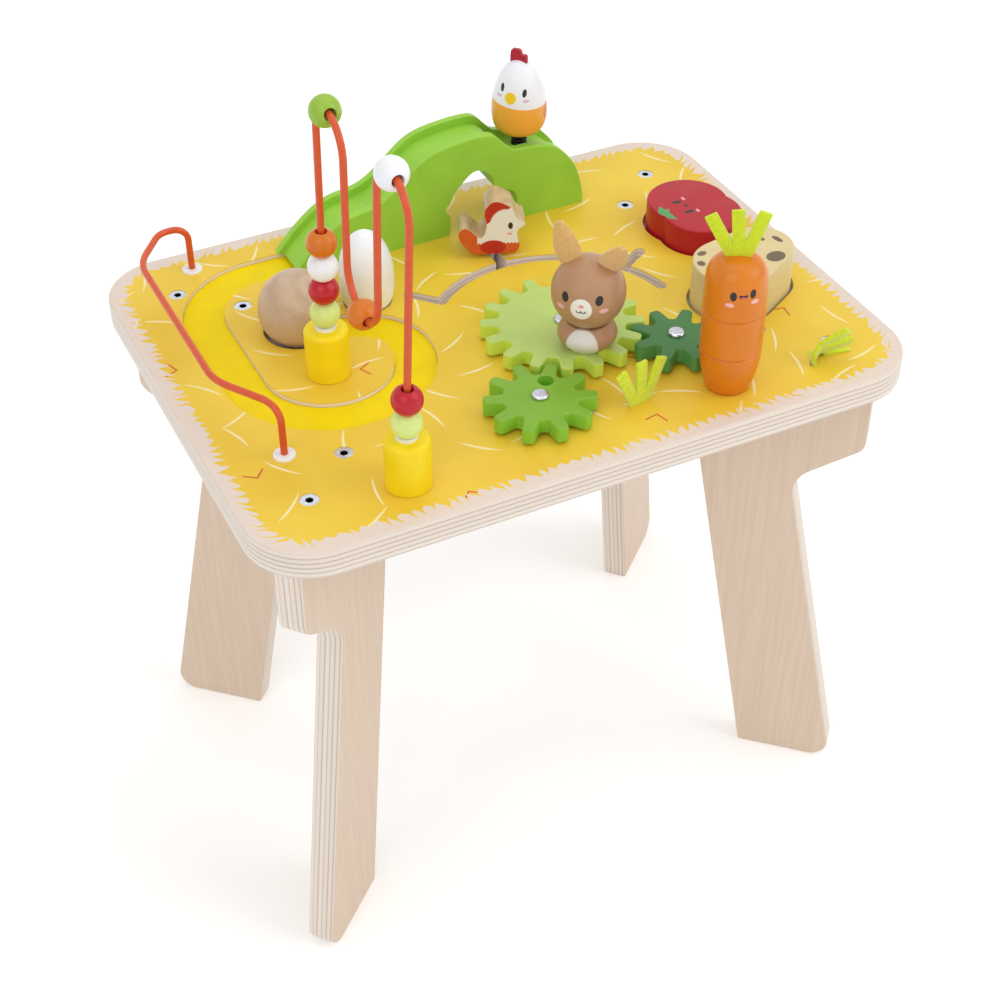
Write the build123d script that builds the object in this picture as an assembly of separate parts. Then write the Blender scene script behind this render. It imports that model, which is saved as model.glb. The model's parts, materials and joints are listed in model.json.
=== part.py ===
from build123d import *
import os
from math import acos, atan2, cos, degrees, hypot, pi, radians, sin, sqrt, tan

# A toddler's activity table. X runs along the board, Y to the back, Z up from the floor.
# Lengths are millimetres and turns are degrees. A place on the board is a share of its length and width.
os.makedirs("parts", exist_ok=True)

# Board
top_length = 400.0
top_width = 300.0
top_thickness = 17.0
top_corner_radius = 38.5
top_edge_round = 1.6
cut_overrun = 1.0
glue_fit = 0.05
seat_gap = 0.3

# Legs, flat panels that stand on the board's diagonals; reaches run along the panel's line
leg_height = 316.5
leg_thickness = 17.0
leg_turn = 42.5
leg_inset_x = 156.0
leg_inset_y = 150.0
leg_top_inner = 76.0
leg_foot_inner = 133.0
leg_foot_outer = 196.0
leg_neck_reach = 147.0
leg_neck_drop = 82.0
leg_neck_fillet = 20.0
leg_foot_round = 12.0
leg_edge_round = 1.2
leg_side_angle = 1.0
bracket_reach = 188.0
bracket_end_drop = 51.0
bracket_round = 10.0

# Leg bolts and the inserts that they screw into
bolt_near = 116.0
bolt_far = 158.0
bolt_head_radius = 5.2
bolt_head_height = 3.0
bolt_head_sink = 0.4
bolt_shank_radius = 3.0
bolt_length = 46.0
bolt_socket_radius = 2.4
bolt_socket_depth = 2.2
insert_radius = 4.6
insert_length = 20.0

# Wood screws that come up through the board
screw_head_radius = 4.2
screw_head_height = 2.4
screw_shank_radius = 1.8
screw_bite = 13.0

# Ball track, a sunk band that curls in to the ball's hole
track_place_share = (-0.2659, 0.0033)
track_width = 24.5
track_depth = 6.0
track_front_radius = 49.9
track_back_radius = 46.5
track_curl_radius = 30.0
track_curl_angle = 70.0
track_run_out = 34.2
track_tuck = 6.0
inlay_thickness = 3.0
inlay_fit = 0.15
ball_radius = 23.1
ball_hole_radius = 21.0
ball_hole_depth = 9.0
egg_place_share = (-0.1525, 0.17)
egg_radius = 16.5
egg_height = 51.0
egg_waist_share = 0.431
egg_foot_radius = 6.0
egg_dish_radius = 14.6
egg_dish_depth = 4.0

# Green hill with a ball channel along its ridge and a hen-shaped window
hill_line_share = 0.3683
hill_place_share = 0.02
hill_length = 198.0
hill_height = 63.5
hill_thickness = 33.0
hill_edge_round = 1.0
hill_wall = 5.5
hill_channel_depth = 5.0
hill_ridge_shares = [
    (0.0, 0.0), (0.1, 0.32), (0.19, 0.475), (0.27, 0.52), (0.37, 0.71), (0.46, 0.92), (0.55, 0.985),
    (0.648, 1.0), (0.68, 0.98), (0.707, 0.905), (0.729, 0.83), (0.755, 0.78), (0.79, 0.77), (0.849, 0.748),
    (0.89, 0.71), (0.93, 0.61), (0.955, 0.515), (0.975, 0.4), (0.99, 0.25), (1.0, 0.1),
]
hill_screw_shares = (0.26, 0.44, 0.9)
window_width = 51.0
window_height = 41.0
window_lead_share = 0.355
window_shares = [
    (0.045, 0.0), (0.06, 0.2), (0.045, 0.36), (0.0, 0.47), (0.05, 0.56), (0.135, 0.72), (0.22, 0.835),
    (0.335, 0.965), (0.4, 1.0), (0.495, 0.98), (0.585, 0.9), (0.645, 0.78), (0.66, 0.66), (0.72, 0.6),
    (0.8, 0.565), (0.9, 0.515), (0.96, 0.4), (0.965, 0.25), (0.97, 0.0),
]

# Hen that rocks on a coil spring in the hill's dip
spring_place_share = 0.81
spring_radius = 4.2
spring_wire_radius = 0.75
spring_pitch = 2.1
spring_turns = 9
spring_turn_steps = 24
spring_show = 9.0
spring_sink = 8.0
spring_bore_room = 0.4
rocker_radius = 17.2
rocker_height = 47.5
rocker_foot_radius = 7.0
rocker_waist_share = 0.3
rocker_turn = 47.0
comb_height = 7.5
comb_width = 11.0
comb_thickness = 3.0
comb_tab_depth = 5.0

# Slot for the sliding hen: an arc with three short branches
slot_lead_share = 0.07175
slot_reach = 135.7
slot_radius = 75.0
slot_width = 7.0
slot_start_turn = 9.0
slot_end_turn = 133.0
slot_branch_turns = (32.0, 90.0, 133.0)
slot_branch_length = 21.0

# Sliding hen, a sawn block on a stem that runs in the slot's middle branch
hen_length = 40.3
hen_height = 36.0
hen_thickness = 19.5
hen_lift = 3.4
hen_turn = -22.3
hen_park = 18.0
hen_shares = [
    (-0.27, 0.0), (-0.43, 0.18), (-0.49, 0.42), (-0.43, 0.5), (-0.27, 0.4), (-0.17, 0.31), (-0.075, 0.56),
    (-0.095, 0.83), (0.05, 1.0), (0.2, 0.95), (0.31, 0.86), (0.42, 0.64), (0.51, 0.56), (0.415, 0.47),
    (0.42, 0.16), (0.34, 0.0),
]
stem_radius = 3.0
stem_bite = 14.0
stem_tail = 5.0
stem_fit = 0.06
stem_washer_radius = 8.0
stem_washer_thickness = 2.0
stem_nut_radius = 5.0
stem_nut_height = 2.5

# Toothed wheels
wheel_place_share = (0.06175, -0.1133)
wheel_module = 5.3
wheel_addendum_share = 0.96
wheel_dedendum_share = 1.05
wheel_thickness = 9.5
wheel_lift = 1.5
wheel_edge_round = 1.0
tooth_tip_width = 6.6
tooth_root_width = 8.8
tooth_round = 2.2
big_teeth = 16
mid_teeth = 10
small_teeth = 8
big_phase_angle = -1.5
mid_angle = 233.2
mid_mesh_slack = 5.4
small_angle = -38.4
small_mesh_slack = 2.5
axle_radius = 3.0
axle_fit = 0.08
axle_depth = 12.0
axle_cap_radius = 4.8
axle_cap_height = 1.8
axle_cap_round = 1.2
washer_radius = 7.0
peg_hole_reach = 14.5
peg_hole_angle = 51.0
peg_hole_depth = 7.5

# Rabbit that stands on the big wheel
rabbit_reach = 26.4
rabbit_angle = -85.5
rabbit_turn = 40.0
rabbit_peg_radius = 4.5
rabbit_peg_fit = 0.09
rabbit_peg_bite = 9.0
rabbit_foot_radius = 11.2
rabbit_body_radius = 16.4
rabbit_body_height = 16.5
rabbit_shoulder_radius = 12.5
rabbit_head_radius = 21.0
rabbit_chin_radius = 9.5
ear_length = 27.0
ear_width = 13.5
ear_thickness = 3.0
ear_tab_width = 8.0
ear_tab_depth = 6.0
ear_tab_show = 1.6
ear_spread = 9.5
ear_leans = (-16.0, 22.0)
ear_nods = (0.0, 28.0)
felt_fit = 0.1

# Tomato and potato blocks in their pockets
pocket_depth = 6.0
pocket_room = 1.9
block_edge_round = 1.3
tomato_place_share = (0.3824, 0.1393)
tomato_crown_radius = 25.4
tomato_base_radius = 24.8
tomato_base_offset = 15.8
tomato_base_angle = -85.3
tomato_rise = 16.7
potato_angle = 28.4
potato_gap = 12.8
potato_big_radius = 24.5
potato_small_radius = 20.2
potato_spread = 25.1
potato_turn = 20.5
potato_rise = 26.9

# Carrot of three rounds on a peg
carrot_angle = -77.4
carrot_gap = 3.6
carrot_peg_radius = 4.0
carrot_peg_fit = 0.09
carrot_peg_depth = 10.0
carrot_peg_rise = 66.0
carrot_foot_radius = 12.4
carrot_low_radius = 17.2
carrot_mid_radius = 17.4
carrot_top_radius = 17.0
carrot_low_height = 26.4
carrot_mid_height = 25.0
carrot_top_height = 33.0
carrot_groove = 0.9
carrot_foot_swell_share = 0.7
carrot_dome_share = 0.5

# Felt leaves: three fingers on a base strip
leaf_finger_width = 7.0
leaf_finger_length = 27.0
leaf_fan = 24.0
leaf_base_width = 15.0
leaf_base_height = 3.0
leaf_thickness = 2.4
leaf_tab_width = 12.0
leaf_tab_depth = 6.0
carrot_leaf_turn = 30.0
front_tuft_share = (0.08425, -0.3657)
front_tuft_turn = 12.0
side_tuft_share = (0.352, -0.394)
side_tuft_turn = 62.0

# Bead maze: two posts, a bent wire and the beads on it
post_line_share = -0.2725
back_post_share = -0.0227
post_span = 110.5
post_radius = 12.6
post_height = 30.5
post_edge_round = 3.0
collar_radius = 6.0
collar_height = 2.0
collar_room = 0.35
wire_radius = 2.0
wire_bite = 14.0
maze_height = 182.0
maze_arch_one_shares = ((0.0919, 0.9615), (0.4154, 0.9615))
maze_dip_shares = ((0.3548, 0.405), (0.714, 0.405))
maze_arch_two_shares = ((0.8072, 1.0), (1.155, 1.0))
end_relief = 0.01
bead_radius = 8.5
bead_half_length = 7.6
bead_bore_radius = 3.6
bead_gap = 0.3
bead_lean_room = 0.45
green_bead_turn = 100.0
white_bead_turn = 88.0
dip_bead_turn = 265.0

# Guard rail along the track
rail_height = 29.5
rail_radius = 2.0
rail_depth = 12.0
rail_back_share = (-0.3595, 0.4287)
rail_corner_share = (-0.4, 0.4367)
rail_turn_share = (-0.4525, 0.3433)
rail_front_turn_share = (-0.4525, -0.0833)
rail_end_turn_share = (-0.40625, -0.18)
rail_front_share = (-0.397, -0.2227)
rail_foot_bend = 8.0
rail_corner_bend = 12.0
rail_side_bend = 34.0
rail_end_bend = 12.0
grommet_radius = 6.2
grommet_height = 1.6
grommet_edge_round = 0.8

deck = leg_height + top_thickness
up_from_base = (Align.CENTER, Align.CENTER, Align.MIN)
down_from_top = (Align.CENTER, Align.CENTER, Align.MAX)


def spot(share):
    return top_length * share[0], top_width * share[1]


def step_out(place, angle, reach):
    return place[0] + reach * cos(radians(angle)), place[1] + reach * sin(radians(angle))


def rod(radius, height, place, base):
    return Pos(place[0], place[1], base) * Cylinder(radius, height, align=up_from_base)


def ring(radius, bore, height, place, base):
    return rod(radius, height, place, base) - rod(bore, height, place, base)


def turned(outline, place, base):
    return Pos(place[0], place[1], base) * revolve(Plane.XZ * make_face(outline), Axis.Z)


def upright(place, base, turn):
    across = (cos(radians(turn)), sin(radians(turn)), 0)
    return Plane(origin=(*place, base), x_dir=across, z_dir=(across[1], -across[0], 0))


def save(name, *solids):
    export_step(Compound(children=list(solids)) if len(solids) > 1 else solids[0], f"parts/{name}.step")


# Where each piece stands
track_line = top_width * hill_line_share
slot_centre = (top_length * slot_lead_share, track_line - slot_reach)
branch_end = slot_radius + slot_branch_length
hen_place = step_out(slot_centre, slot_branch_turns[1], slot_radius + hen_park)
egg_place = spot(egg_place_share)
track_front = spot(track_place_share)
track_left = track_front[0] - track_front_radius
track_back = (track_left + track_back_radius, track_line - track_back_radius)
track_curl = (track_front[0] + track_front_radius - track_curl_radius, track_front[1])
track_curl_end = step_out(track_curl, track_curl_angle, track_curl_radius)
ball_place = step_out(track_curl_end, track_curl_angle + 90, track_run_out)
hill_left = top_length * hill_place_share - hill_length / 2
spring_place = (hill_left + hill_length * spring_place_share, track_line)
post_line = top_length * post_line_share
back_post = (post_line, top_width * back_post_share)
front_post = (post_line, back_post[1] - post_span)


def pitch_radius(teeth):
    return teeth * wheel_module / 2


def tip_radius(teeth):
    return pitch_radius(teeth) + wheel_addendum_share * wheel_module


def mesh_phase(angle, teeth):
    # Sets a tooth of the follower in the gap of the big wheel along the line of centres.
    lead = (angle - big_phase_angle) * big_teeth / 360
    return angle + 180 - (0.5 - lead) * 360 / teeth


big_wheel = spot(wheel_place_share)
mid_wheel = step_out(
    big_wheel, mid_angle, pitch_radius(big_teeth) + pitch_radius(mid_teeth) + mid_mesh_slack
)
small_wheel = step_out(
    big_wheel, small_angle, pitch_radius(big_teeth) + pitch_radius(small_teeth) + small_mesh_slack
)
wheel_top = deck + wheel_lift + wheel_thickness
peg_hole = step_out(mid_wheel, peg_hole_angle, peg_hole_reach)
rabbit_place = step_out(big_wheel, rabbit_angle, rabbit_reach)
carrot_place = step_out(
    small_wheel, carrot_angle, tip_radius(small_teeth) + carrot_foot_radius + carrot_gap
)
potato_place = step_out(
    small_wheel, potato_angle, tip_radius(small_teeth) + potato_big_radius + potato_gap
)


def leg_point(reach):
    # A place on the back right leg's line.
    return step_out((top_length / 2 - leg_inset_x, top_width / 2 - leg_inset_y), leg_turn, reach)


corners = [(-1, -1), (1, -1), (-1, 1), (1, 1)]
bolt_places = [
    (side * leg_point(reach)[0], end * leg_point(reach)[1])
    for side, end in corners for reach in (bolt_near, bolt_far)
]
hill_screw_places = [(hill_left + hill_length * share, track_line) for share in hill_screw_shares]
screw_places = [*hill_screw_places, back_post, front_post, carrot_place]


# Ball track
def track_face(width):
    path = Wire([
        Line((hill_left + track_tuck, track_line), (track_back[0], track_line)),
        CenterArc(track_back, track_back_radius, 90, 90),
        Line((track_left, track_back[1]), (track_left, track_front[1])),
        CenterArc(track_front, track_front_radius, 180, 180),
        CenterArc(track_curl, track_curl_radius, 0, track_curl_angle),
        Line(track_curl_end, ball_place),
    ])
    return SlotArc(path, width)


def slot_faces(width):
    path = CenterArc(slot_centre, slot_radius, slot_start_turn, slot_end_turn - slot_start_turn)
    faces = SlotArc(path, width)
    for turn in slot_branch_turns:
        start = step_out(slot_centre, turn, slot_radius)
        faces += SlotArc(Line(start, step_out(slot_centre, turn, branch_end)), width)
    return faces


# Outlines of the two blocks, grown by the room that their pockets leave
def tomato_face(room):
    crown = spot(tomato_place_share)
    base = step_out(crown, tomato_base_angle, tomato_base_offset)
    return Pos(*crown) * Circle(tomato_crown_radius + room) + Pos(*base) * Circle(tomato_base_radius + room)


def potato_face(room):
    ends = [
        (potato_place, potato_big_radius + room),
        (step_out(potato_place, potato_turn, potato_spread), potato_small_radius + room),
    ]
    return make_hull([(Pos(*place) * Circle(radius)).edge() for place, radius in ends])


def sunk(face, depth):
    return Pos(0, 0, deck - depth) * extrude(face, depth + cut_overrun)


def through(face):
    return Pos(0, 0, leg_height - cut_overrun) * extrude(face, top_thickness + 2 * cut_overrun)


def bolt(place, room):
    head = Pos(*place, deck - bolt_head_sink) * Cone(
        bolt_shank_radius + room, bolt_head_radius + room, bolt_head_height, align=down_from_top
    )
    shank_length = bolt_length - bolt_head_height
    shank_top = deck - bolt_head_sink - bolt_head_height
    return head + rod(bolt_shank_radius + room, shank_length, place, shank_top - shank_length)


def leaf_tab(place, base, turn, room):
    tab = Rectangle(leaf_tab_width + 2 * room, leaf_tab_depth, align=(Align.CENTER, Align.MAX))
    return extrude(upright(place, base, turn) * tab, leaf_thickness / 2 + room, both=True)


def wire_hole(place, depth):
    return rod(rail_radius + glue_fit, depth + cut_overrun, place, deck - depth)


def table_top():
    board = Pos(0, 0, leg_height) * extrude(
        RectangleRounded(top_length, top_width, top_corner_radius), top_thickness
    )
    board = fillet(board.faces().sort_by(Axis.Z)[-1].edges(), top_edge_round)
    board = fillet(board.faces().sort_by(Axis.Z)[0].edges(), top_edge_round)
    board -= sunk(track_face(track_width), track_depth)
    board -= sunk(Pos(*ball_place) * Circle(ball_hole_radius), ball_hole_depth)
    board -= sunk(Pos(*egg_place) * Circle(egg_dish_radius), egg_dish_depth)
    board -= sunk(tomato_face(pocket_room), pocket_depth)
    board -= sunk(potato_face(pocket_room), pocket_depth)
    board -= through(slot_faces(slot_width))
    for place in bolt_places:
        board -= bolt(place, glue_fit)
        board -= rod(bolt_head_radius + glue_fit, bolt_head_sink + cut_overrun, place,
                     deck - bolt_head_sink)
    for place in screw_places:
        board -= through(Pos(*place) * Circle(screw_shank_radius + glue_fit))
    for place in (big_wheel, mid_wheel, small_wheel):
        board -= sunk(Pos(*place) * Circle(axle_radius + glue_fit), axle_depth)
    board -= sunk(Pos(*carrot_place) * Circle(carrot_peg_radius + glue_fit), carrot_peg_depth)
    for share in (rail_back_share, rail_front_share):
        board -= wire_hole(spot(share), rail_depth)
    for share, turn in ((front_tuft_share, front_tuft_turn), (side_tuft_share, side_tuft_turn)):
        board -= leaf_tab(spot(share), deck, turn, felt_fit)
    return board


# Legs
def leg_panel():
    neck = leg_height - leg_neck_drop
    outline = Polygon(
        (leg_top_inner, leg_height), (leg_foot_inner, 0), (leg_foot_outer, 0), (leg_neck_reach, neck),
        (bracket_reach, leg_height - bracket_end_drop), (bracket_reach, leg_height), align=None,
    )
    low = outline.vertices().filter_by_position(Axis.Y, 0, 0).sort_by(Axis.X)[-1]
    outline = fillet(low, leg_foot_round)
    end = outline.vertices().sort_by_distance((bracket_reach, leg_height - bracket_end_drop))[0]
    outline = fillet(end, bracket_round)
    outline = fillet(outline.vertices().sort_by_distance((leg_neck_reach, neck))[0], leg_neck_fillet)
    line = (sin(radians(leg_turn)), -cos(radians(leg_turn)), 0)
    plane = Plane(origin=(*leg_point(0), 0), x_dir=(-line[1], line[0], 0), z_dir=line)
    panel = extrude(plane * outline, leg_thickness / 2, both=True)
    least = cos(radians(leg_side_angle))
    sides = panel.faces().filter_by(lambda face: abs(face.normal_at().dot(Vector(line))) > least)
    panel = fillet(sides.edges().filter_by(lambda edge: edge.center().Z < leg_height - leg_edge_round),
                   leg_edge_round)
    for reach in (bolt_near, bolt_far):
        place = leg_point(reach)
        tip = deck - bolt_head_sink - bolt_length - seat_gap
        panel -= rod(insert_radius + glue_fit, insert_length, place, leg_height - insert_length)
        panel -= rod(bolt_shank_radius + glue_fit, leg_height - tip, place, tip)
    return panel


def bolt_with_socket(place):
    socket = Pos(*place, deck - bolt_head_sink) * extrude(
        RegularPolygon(bolt_socket_radius, 6), -bolt_socket_depth
    )
    return bolt(place, 0) - socket


def wood_screw(place, bite):
    head = rod(screw_head_radius, screw_head_height, place, leg_height - screw_head_height)
    return head + rod(screw_shank_radius, top_thickness + bite, place, leg_height)


def screw_bore(place):
    return rod(screw_shank_radius + glue_fit, screw_bite + seat_gap, place, deck)


save("table_top", table_top())
panel = leg_panel()
for name, (side, end) in zip(("front_left", "front_right", "back_left", "back_right"), corners):
    turned_panel = panel if side > 0 else mirror(panel, Plane.YZ)
    save(f"leg_{name}", turned_panel if end > 0 else mirror(turned_panel, Plane.XZ))
save("leg_bolts", *[bolt_with_socket(place) for place in bolt_places])
save("leg_inserts", *[
    ring(insert_radius, bolt_shank_radius + glue_fit, insert_length, place, leg_height - insert_length)
    for place in bolt_places
])

# Ball track inlay, ball and egg
inlay = Pos(0, 0, deck - track_depth) * extrude(track_face(track_width - 2 * inlay_fit), inlay_thickness)
save("track_inlay", inlay - rod(ball_hole_radius, track_depth, ball_place, deck - track_depth))
save("ball", Pos(*ball_place, deck - ball_hole_depth + ball_radius) * Sphere(ball_radius))


def oval(radius, height, waist_share, foot_radius):
    # An egg's half outline, flat at the foot and widest at its waist.
    waist = height * waist_share
    start = (foot_radius, 0)
    low = Spline(start, (radius, waist), tangents=((1, 0), (0, 1)))
    high = Spline((radius, waist), (0, height), tangents=((0, 1), (-1, 0)))
    sides = [low, high, Line((0, height), (0, 0))]
    return sides + [Line((0, 0), start)] if foot_radius else sides


save("egg", turned(oval(egg_radius, egg_height, egg_waist_share, egg_foot_radius), egg_place,
                   deck - egg_dish_depth))


# Green hill
def hill_face(drop):
    points = [(hill_left + hill_length * x, hill_height * z - drop) for x, z in hill_ridge_shares]
    right = hill_left + hill_length
    return make_face([
        Spline(*points), Line(points[-1], (right, -drop)), Line((right, -drop), points[0]),
    ])


def hill_block(face, thickness):
    plane = Plane(origin=(0, track_line + thickness / 2, deck), x_dir=(1, 0, 0), z_dir=(0, -1, 0))
    return extrude(plane * face, thickness)


def hill():
    left = slot_centre[0] - window_width * window_lead_share
    points = [(left + window_width * x, window_height * z) for x, z in window_shares]
    sill = [(points[-1][0], -cut_overrun), (points[0][0], -cut_overrun)]
    window = make_face([Spline(*points), Polyline(points[-1], *sill, points[0])])
    block = hill_block(hill_face(0), hill_thickness)
    ends = block.faces().filter_by(Axis.Y).edges()
    block = fillet(ends.filter_by(lambda edge: edge.center().Z > deck + hill_edge_round), hill_edge_round)
    block -= hill_block(window, hill_thickness)
    channel = hill_thickness - 2 * hill_wall
    block -= hill_block(hill_face(0), channel) - hill_block(hill_face(hill_channel_depth), channel)
    block -= rod(spring_radius + spring_wire_radius + spring_bore_room, hill_height, spring_place,
                 spring_floor - spring_sink)
    for place in hill_screw_places:
        block -= screw_bore(place)
    return block


def ridge_level(share):
    # The channel floor's height at a share of the hill's length, between the two ridge points beside it.
    for (low, rise), (high, fall) in zip(hill_ridge_shares, hill_ridge_shares[1:]):
        if low <= share <= high:
            level = rise + (fall - rise) * (share - low) / (high - low)
            return deck + hill_height * level - hill_channel_depth


spring_floor = ridge_level(spring_place_share)
rocker_base = spring_floor + spring_show
save("green_hill", hill())
save("fixing_screws", *[wood_screw(place, screw_bite) for place in screw_places])


# Spring: straight ends one wire thick, and a coil of arcs in pairs that meet in tangents
def coil_point(quarter):
    turn = radians(90 * quarter)
    level = spring_floor - spring_sink + 2 * spring_wire_radius + spring_pitch * quarter / 4
    return Vector(*spring_place, level) + Vector(cos(turn), sin(turn), 0) * spring_radius


def coil_heading(quarter):
    turn = radians(90 * quarter)
    return Vector(-sin(turn), cos(turn), spring_pitch / (2 * pi * spring_radius)).normalized()


def arc_pair(start, finish, leave, arrive):
    span = finish - start
    square = 2 * leave.dot(arrive) - 2
    linear = -2 * span.dot(leave + arrive)
    reach = (-linear - sqrt(linear ** 2 - 4 * square * span.dot(span))) / (2 * square)
    near, far = start + leave * reach, finish - arrive * reach
    middle = (near + far) * 0.5
    return [TangentArc(start, middle, tangent=leave), TangentArc(middle, finish, tangent=far - near)]


def spring():
    quarters = 4 * spring_turns
    edges = [Line(coil_point(0) - coil_heading(0) * 2 * spring_wire_radius, coil_point(0))]
    for quarter in range(quarters):
        edges += arc_pair(coil_point(quarter), coil_point(quarter + 1), coil_heading(quarter),
                          coil_heading(quarter + 1))
    end = coil_point(quarters)
    edges.append(Line(end, end + coil_heading(quarters) * 2 * spring_wire_radius))
    path = Wire(edges)
    steps = spring_turn_steps * spring_turns
    points = [path @ (step / steps) for step in range(steps + 1)]
    half = spring_turn_steps // 2
    gaps = [(first - second).length
            for index, first in enumerate(points) for second in points[index + half:]]
    print("spring least gap to itself", round(min(gaps) - 2 * spring_wire_radius, 2))
    coil = sweep(Plane(origin=path @ 0, z_dir=path % 0) * Circle(spring_wire_radius), path)
    print("spring volume over section times length",
          round(coil.volume / (pi * spring_wire_radius ** 2 * path.length), 4))
    return coil


save("hen_spring", spring())
spring_top = spring_floor - spring_sink + 4 * spring_wire_radius + spring_pitch * spring_turns
rocker = turned(oval(rocker_radius, rocker_height, rocker_waist_share, rocker_foot_radius), spring_place,
                rocker_base)
rocker -= rod(spring_radius + spring_wire_radius + spring_bore_room, spring_top + seat_gap - rocker_base,
              spring_place, rocker_base)
comb_plane = upright(spring_place, rocker_base + rocker_height, -rocker_turn)


def comb(room):
    base = -comb_tab_depth
    face = Rectangle(comb_width / 2 + 2 * room, comb_tab_depth + comb_height / 2,
                     align=(Align.CENTER, Align.MIN))
    face = Pos(0, base) * face
    lobe = comb_width / 4
    for side, rise in ((-1, comb_height - lobe), (1, comb_height / 2)):
        face += Pos(side * lobe, rise - lobe / 2) * Circle(lobe + room)
    return extrude(comb_plane * face, comb_thickness / 2 + room, both=True)


save("rocker_hen", rocker - comb(felt_fit))
save("rocker_comb", comb(0))

# Sliding hen on its stem
hen_base = deck + hen_lift
hen_points = [(hen_length * x, hen_height * z) for x, z in hen_shares]
hen_face = make_face([Spline(*hen_points), Line(hen_points[-1], hen_points[0])])
hen = extrude(upright(hen_place, hen_base, hen_turn) * hen_face, hen_thickness / 2, both=True)
save("sliding_hen", hen - rod(stem_radius + stem_fit, stem_bite + seat_gap, hen_place, hen_base))
stem_base = leg_height - stem_tail
save("hen_stem", rod(stem_radius, hen_base + stem_bite - stem_base, hen_place, stem_base))
washer_base = leg_height - seat_gap - stem_washer_thickness
save("hen_washer", ring(stem_washer_radius, stem_radius + glue_fit, stem_washer_thickness, hen_place,
                        washer_base))
save("hen_nut", ring(stem_nut_radius, stem_radius + glue_fit, stem_nut_height, hen_place,
                     washer_base - stem_nut_height))


# Toothed wheels
def wheel(teeth, place, phase):
    root = pitch_radius(teeth) - wheel_dedendum_share * wheel_module
    points = []
    for tooth in range(teeth):
        middle = phase + 360 * tooth / teeth
        flanks = ((root, -tooth_root_width), (tip_radius(teeth), -tooth_tip_width),
                  (tip_radius(teeth), tooth_tip_width), (root, tooth_root_width))
        for radius, width in flanks:
            points.append(step_out((0, 0), middle + degrees(width / 2 / radius), radius))
    outline = make_face(FilletPolyline(*points, radius=tooth_round, close=True))
    body = extrude(outline, wheel_thickness)
    body = fillet(body.faces().sort_by(Axis.Z)[-1].edges(), wheel_edge_round)
    body = fillet(body.faces().sort_by(Axis.Z)[0].edges(), wheel_edge_round)
    return Pos(*place, deck + wheel_lift) * body - rod(
        axle_radius + axle_fit, wheel_thickness, place, deck + wheel_lift
    )


def axle(place):
    cap = rod(axle_cap_radius, axle_cap_height, place, wheel_top + seat_gap)
    cap = fillet(cap.edges().sort_by(Axis.Z)[-1], axle_cap_round)
    return cap + rod(axle_radius, wheel_top + seat_gap - deck + axle_depth, place, deck - axle_depth)


rabbit_seat = rod(rabbit_peg_radius + rabbit_peg_fit, peg_hole_depth, rabbit_place,
                  wheel_top - peg_hole_depth)
spare_seat = rod(rabbit_peg_radius + rabbit_peg_fit, peg_hole_depth, peg_hole, wheel_top - peg_hole_depth)
save("big_wheel", wheel(big_teeth, big_wheel, big_phase_angle) - rabbit_seat)
save("mid_wheel", wheel(mid_teeth, mid_wheel, mesh_phase(mid_angle, mid_teeth)) - spare_seat)
save("small_wheel", wheel(small_teeth, small_wheel, mesh_phase(small_angle, small_teeth)))
wheels = (big_wheel, mid_wheel, small_wheel)
save("wheel_axles", *[axle(place) for place in wheels])
save("wheel_washers", *[
    ring(washer_radius, axle_radius + glue_fit, wheel_lift, place, deck) for place in wheels
])

# Rabbit
rabbit_neck = wheel_top + rabbit_body_height
head_centre = rabbit_neck + sqrt(rabbit_head_radius ** 2 - rabbit_chin_radius ** 2)
rabbit_sides = [
    ThreePointArc((rabbit_foot_radius, 0), (rabbit_body_radius, rabbit_body_height / 2),
                  (rabbit_shoulder_radius, rabbit_body_height)),
    Polyline((rabbit_shoulder_radius, rabbit_body_height), (0, rabbit_body_height), (0, 0),
             (rabbit_foot_radius, 0)),
]
rabbit_peg_base = wheel_top - peg_hole_depth + seat_gap
rabbit_peg_length = peg_hole_depth - seat_gap + rabbit_peg_bite
peg_bore = rod(rabbit_peg_radius + glue_fit, rabbit_peg_bite + seat_gap, rabbit_place, wheel_top)
save("rabbit_body", turned(rabbit_sides, rabbit_place, wheel_top) - peg_bore)
save("rabbit_peg", rod(rabbit_peg_radius, rabbit_peg_length, rabbit_place, rabbit_peg_base))
head = Pos(*rabbit_place, head_centre) * Sphere(rabbit_head_radius)
head -= rod(rabbit_head_radius, rabbit_head_radius, rabbit_place, rabbit_neck - rabbit_head_radius)


def ear(lean, nod, room):
    # A pointed oval of felt on a tab, set across the head; it leans to its side and nods forward.
    side = -1 if lean < 0 else 1
    bow = (ear_length ** 2 / ear_width + ear_width) / 4
    blade = Pos(bow - ear_width / 2, 0) * Circle(bow) & Pos(ear_width / 2 - bow, 0) * Circle(bow)
    tab = Rectangle(ear_tab_width + 2 * room, ear_tab_depth + ear_tab_show, align=(Align.CENTER, Align.MAX))
    blade = Pos(0, ear_length / 2 - ear_tab_depth / 2) * blade
    face = Rot(0, 0, -lean) * (blade + Pos(0, ear_tab_show) * tab)
    across = Vector(cos(radians(rabbit_turn)), -sin(radians(rabbit_turn)), 0)
    ahead = Vector(across.Y, -across.X, 0)
    seat = Vector(*rabbit_place, head_centre + sqrt(rabbit_head_radius ** 2 - ear_spread ** 2))
    plane = Plane(origin=seat + across * side * ear_spread, x_dir=across,
                  z_dir=ahead * cos(radians(nod)) - Vector(0, 0, 1) * sin(radians(nod)))
    return extrude(plane * face, ear_thickness / 2 + room, both=True)


for name, lean, nod in zip(("left", "right"), ear_leans, ear_nods):
    head -= ear(lean, nod, felt_fit)
    save(f"rabbit_ear_{name}", ear(lean, nod, 0))
save("rabbit_head", head)


# Tomato and potato
def block(face, rise):
    body = Pos(0, 0, deck - pocket_depth) * extrude(face, pocket_depth + rise)
    return fillet(body.faces().sort_by(Axis.Z)[-1].edges(), block_edge_round)


save("tomato", block(tomato_face(0), tomato_rise))
save("potato", block(potato_face(0), potato_rise))


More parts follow.
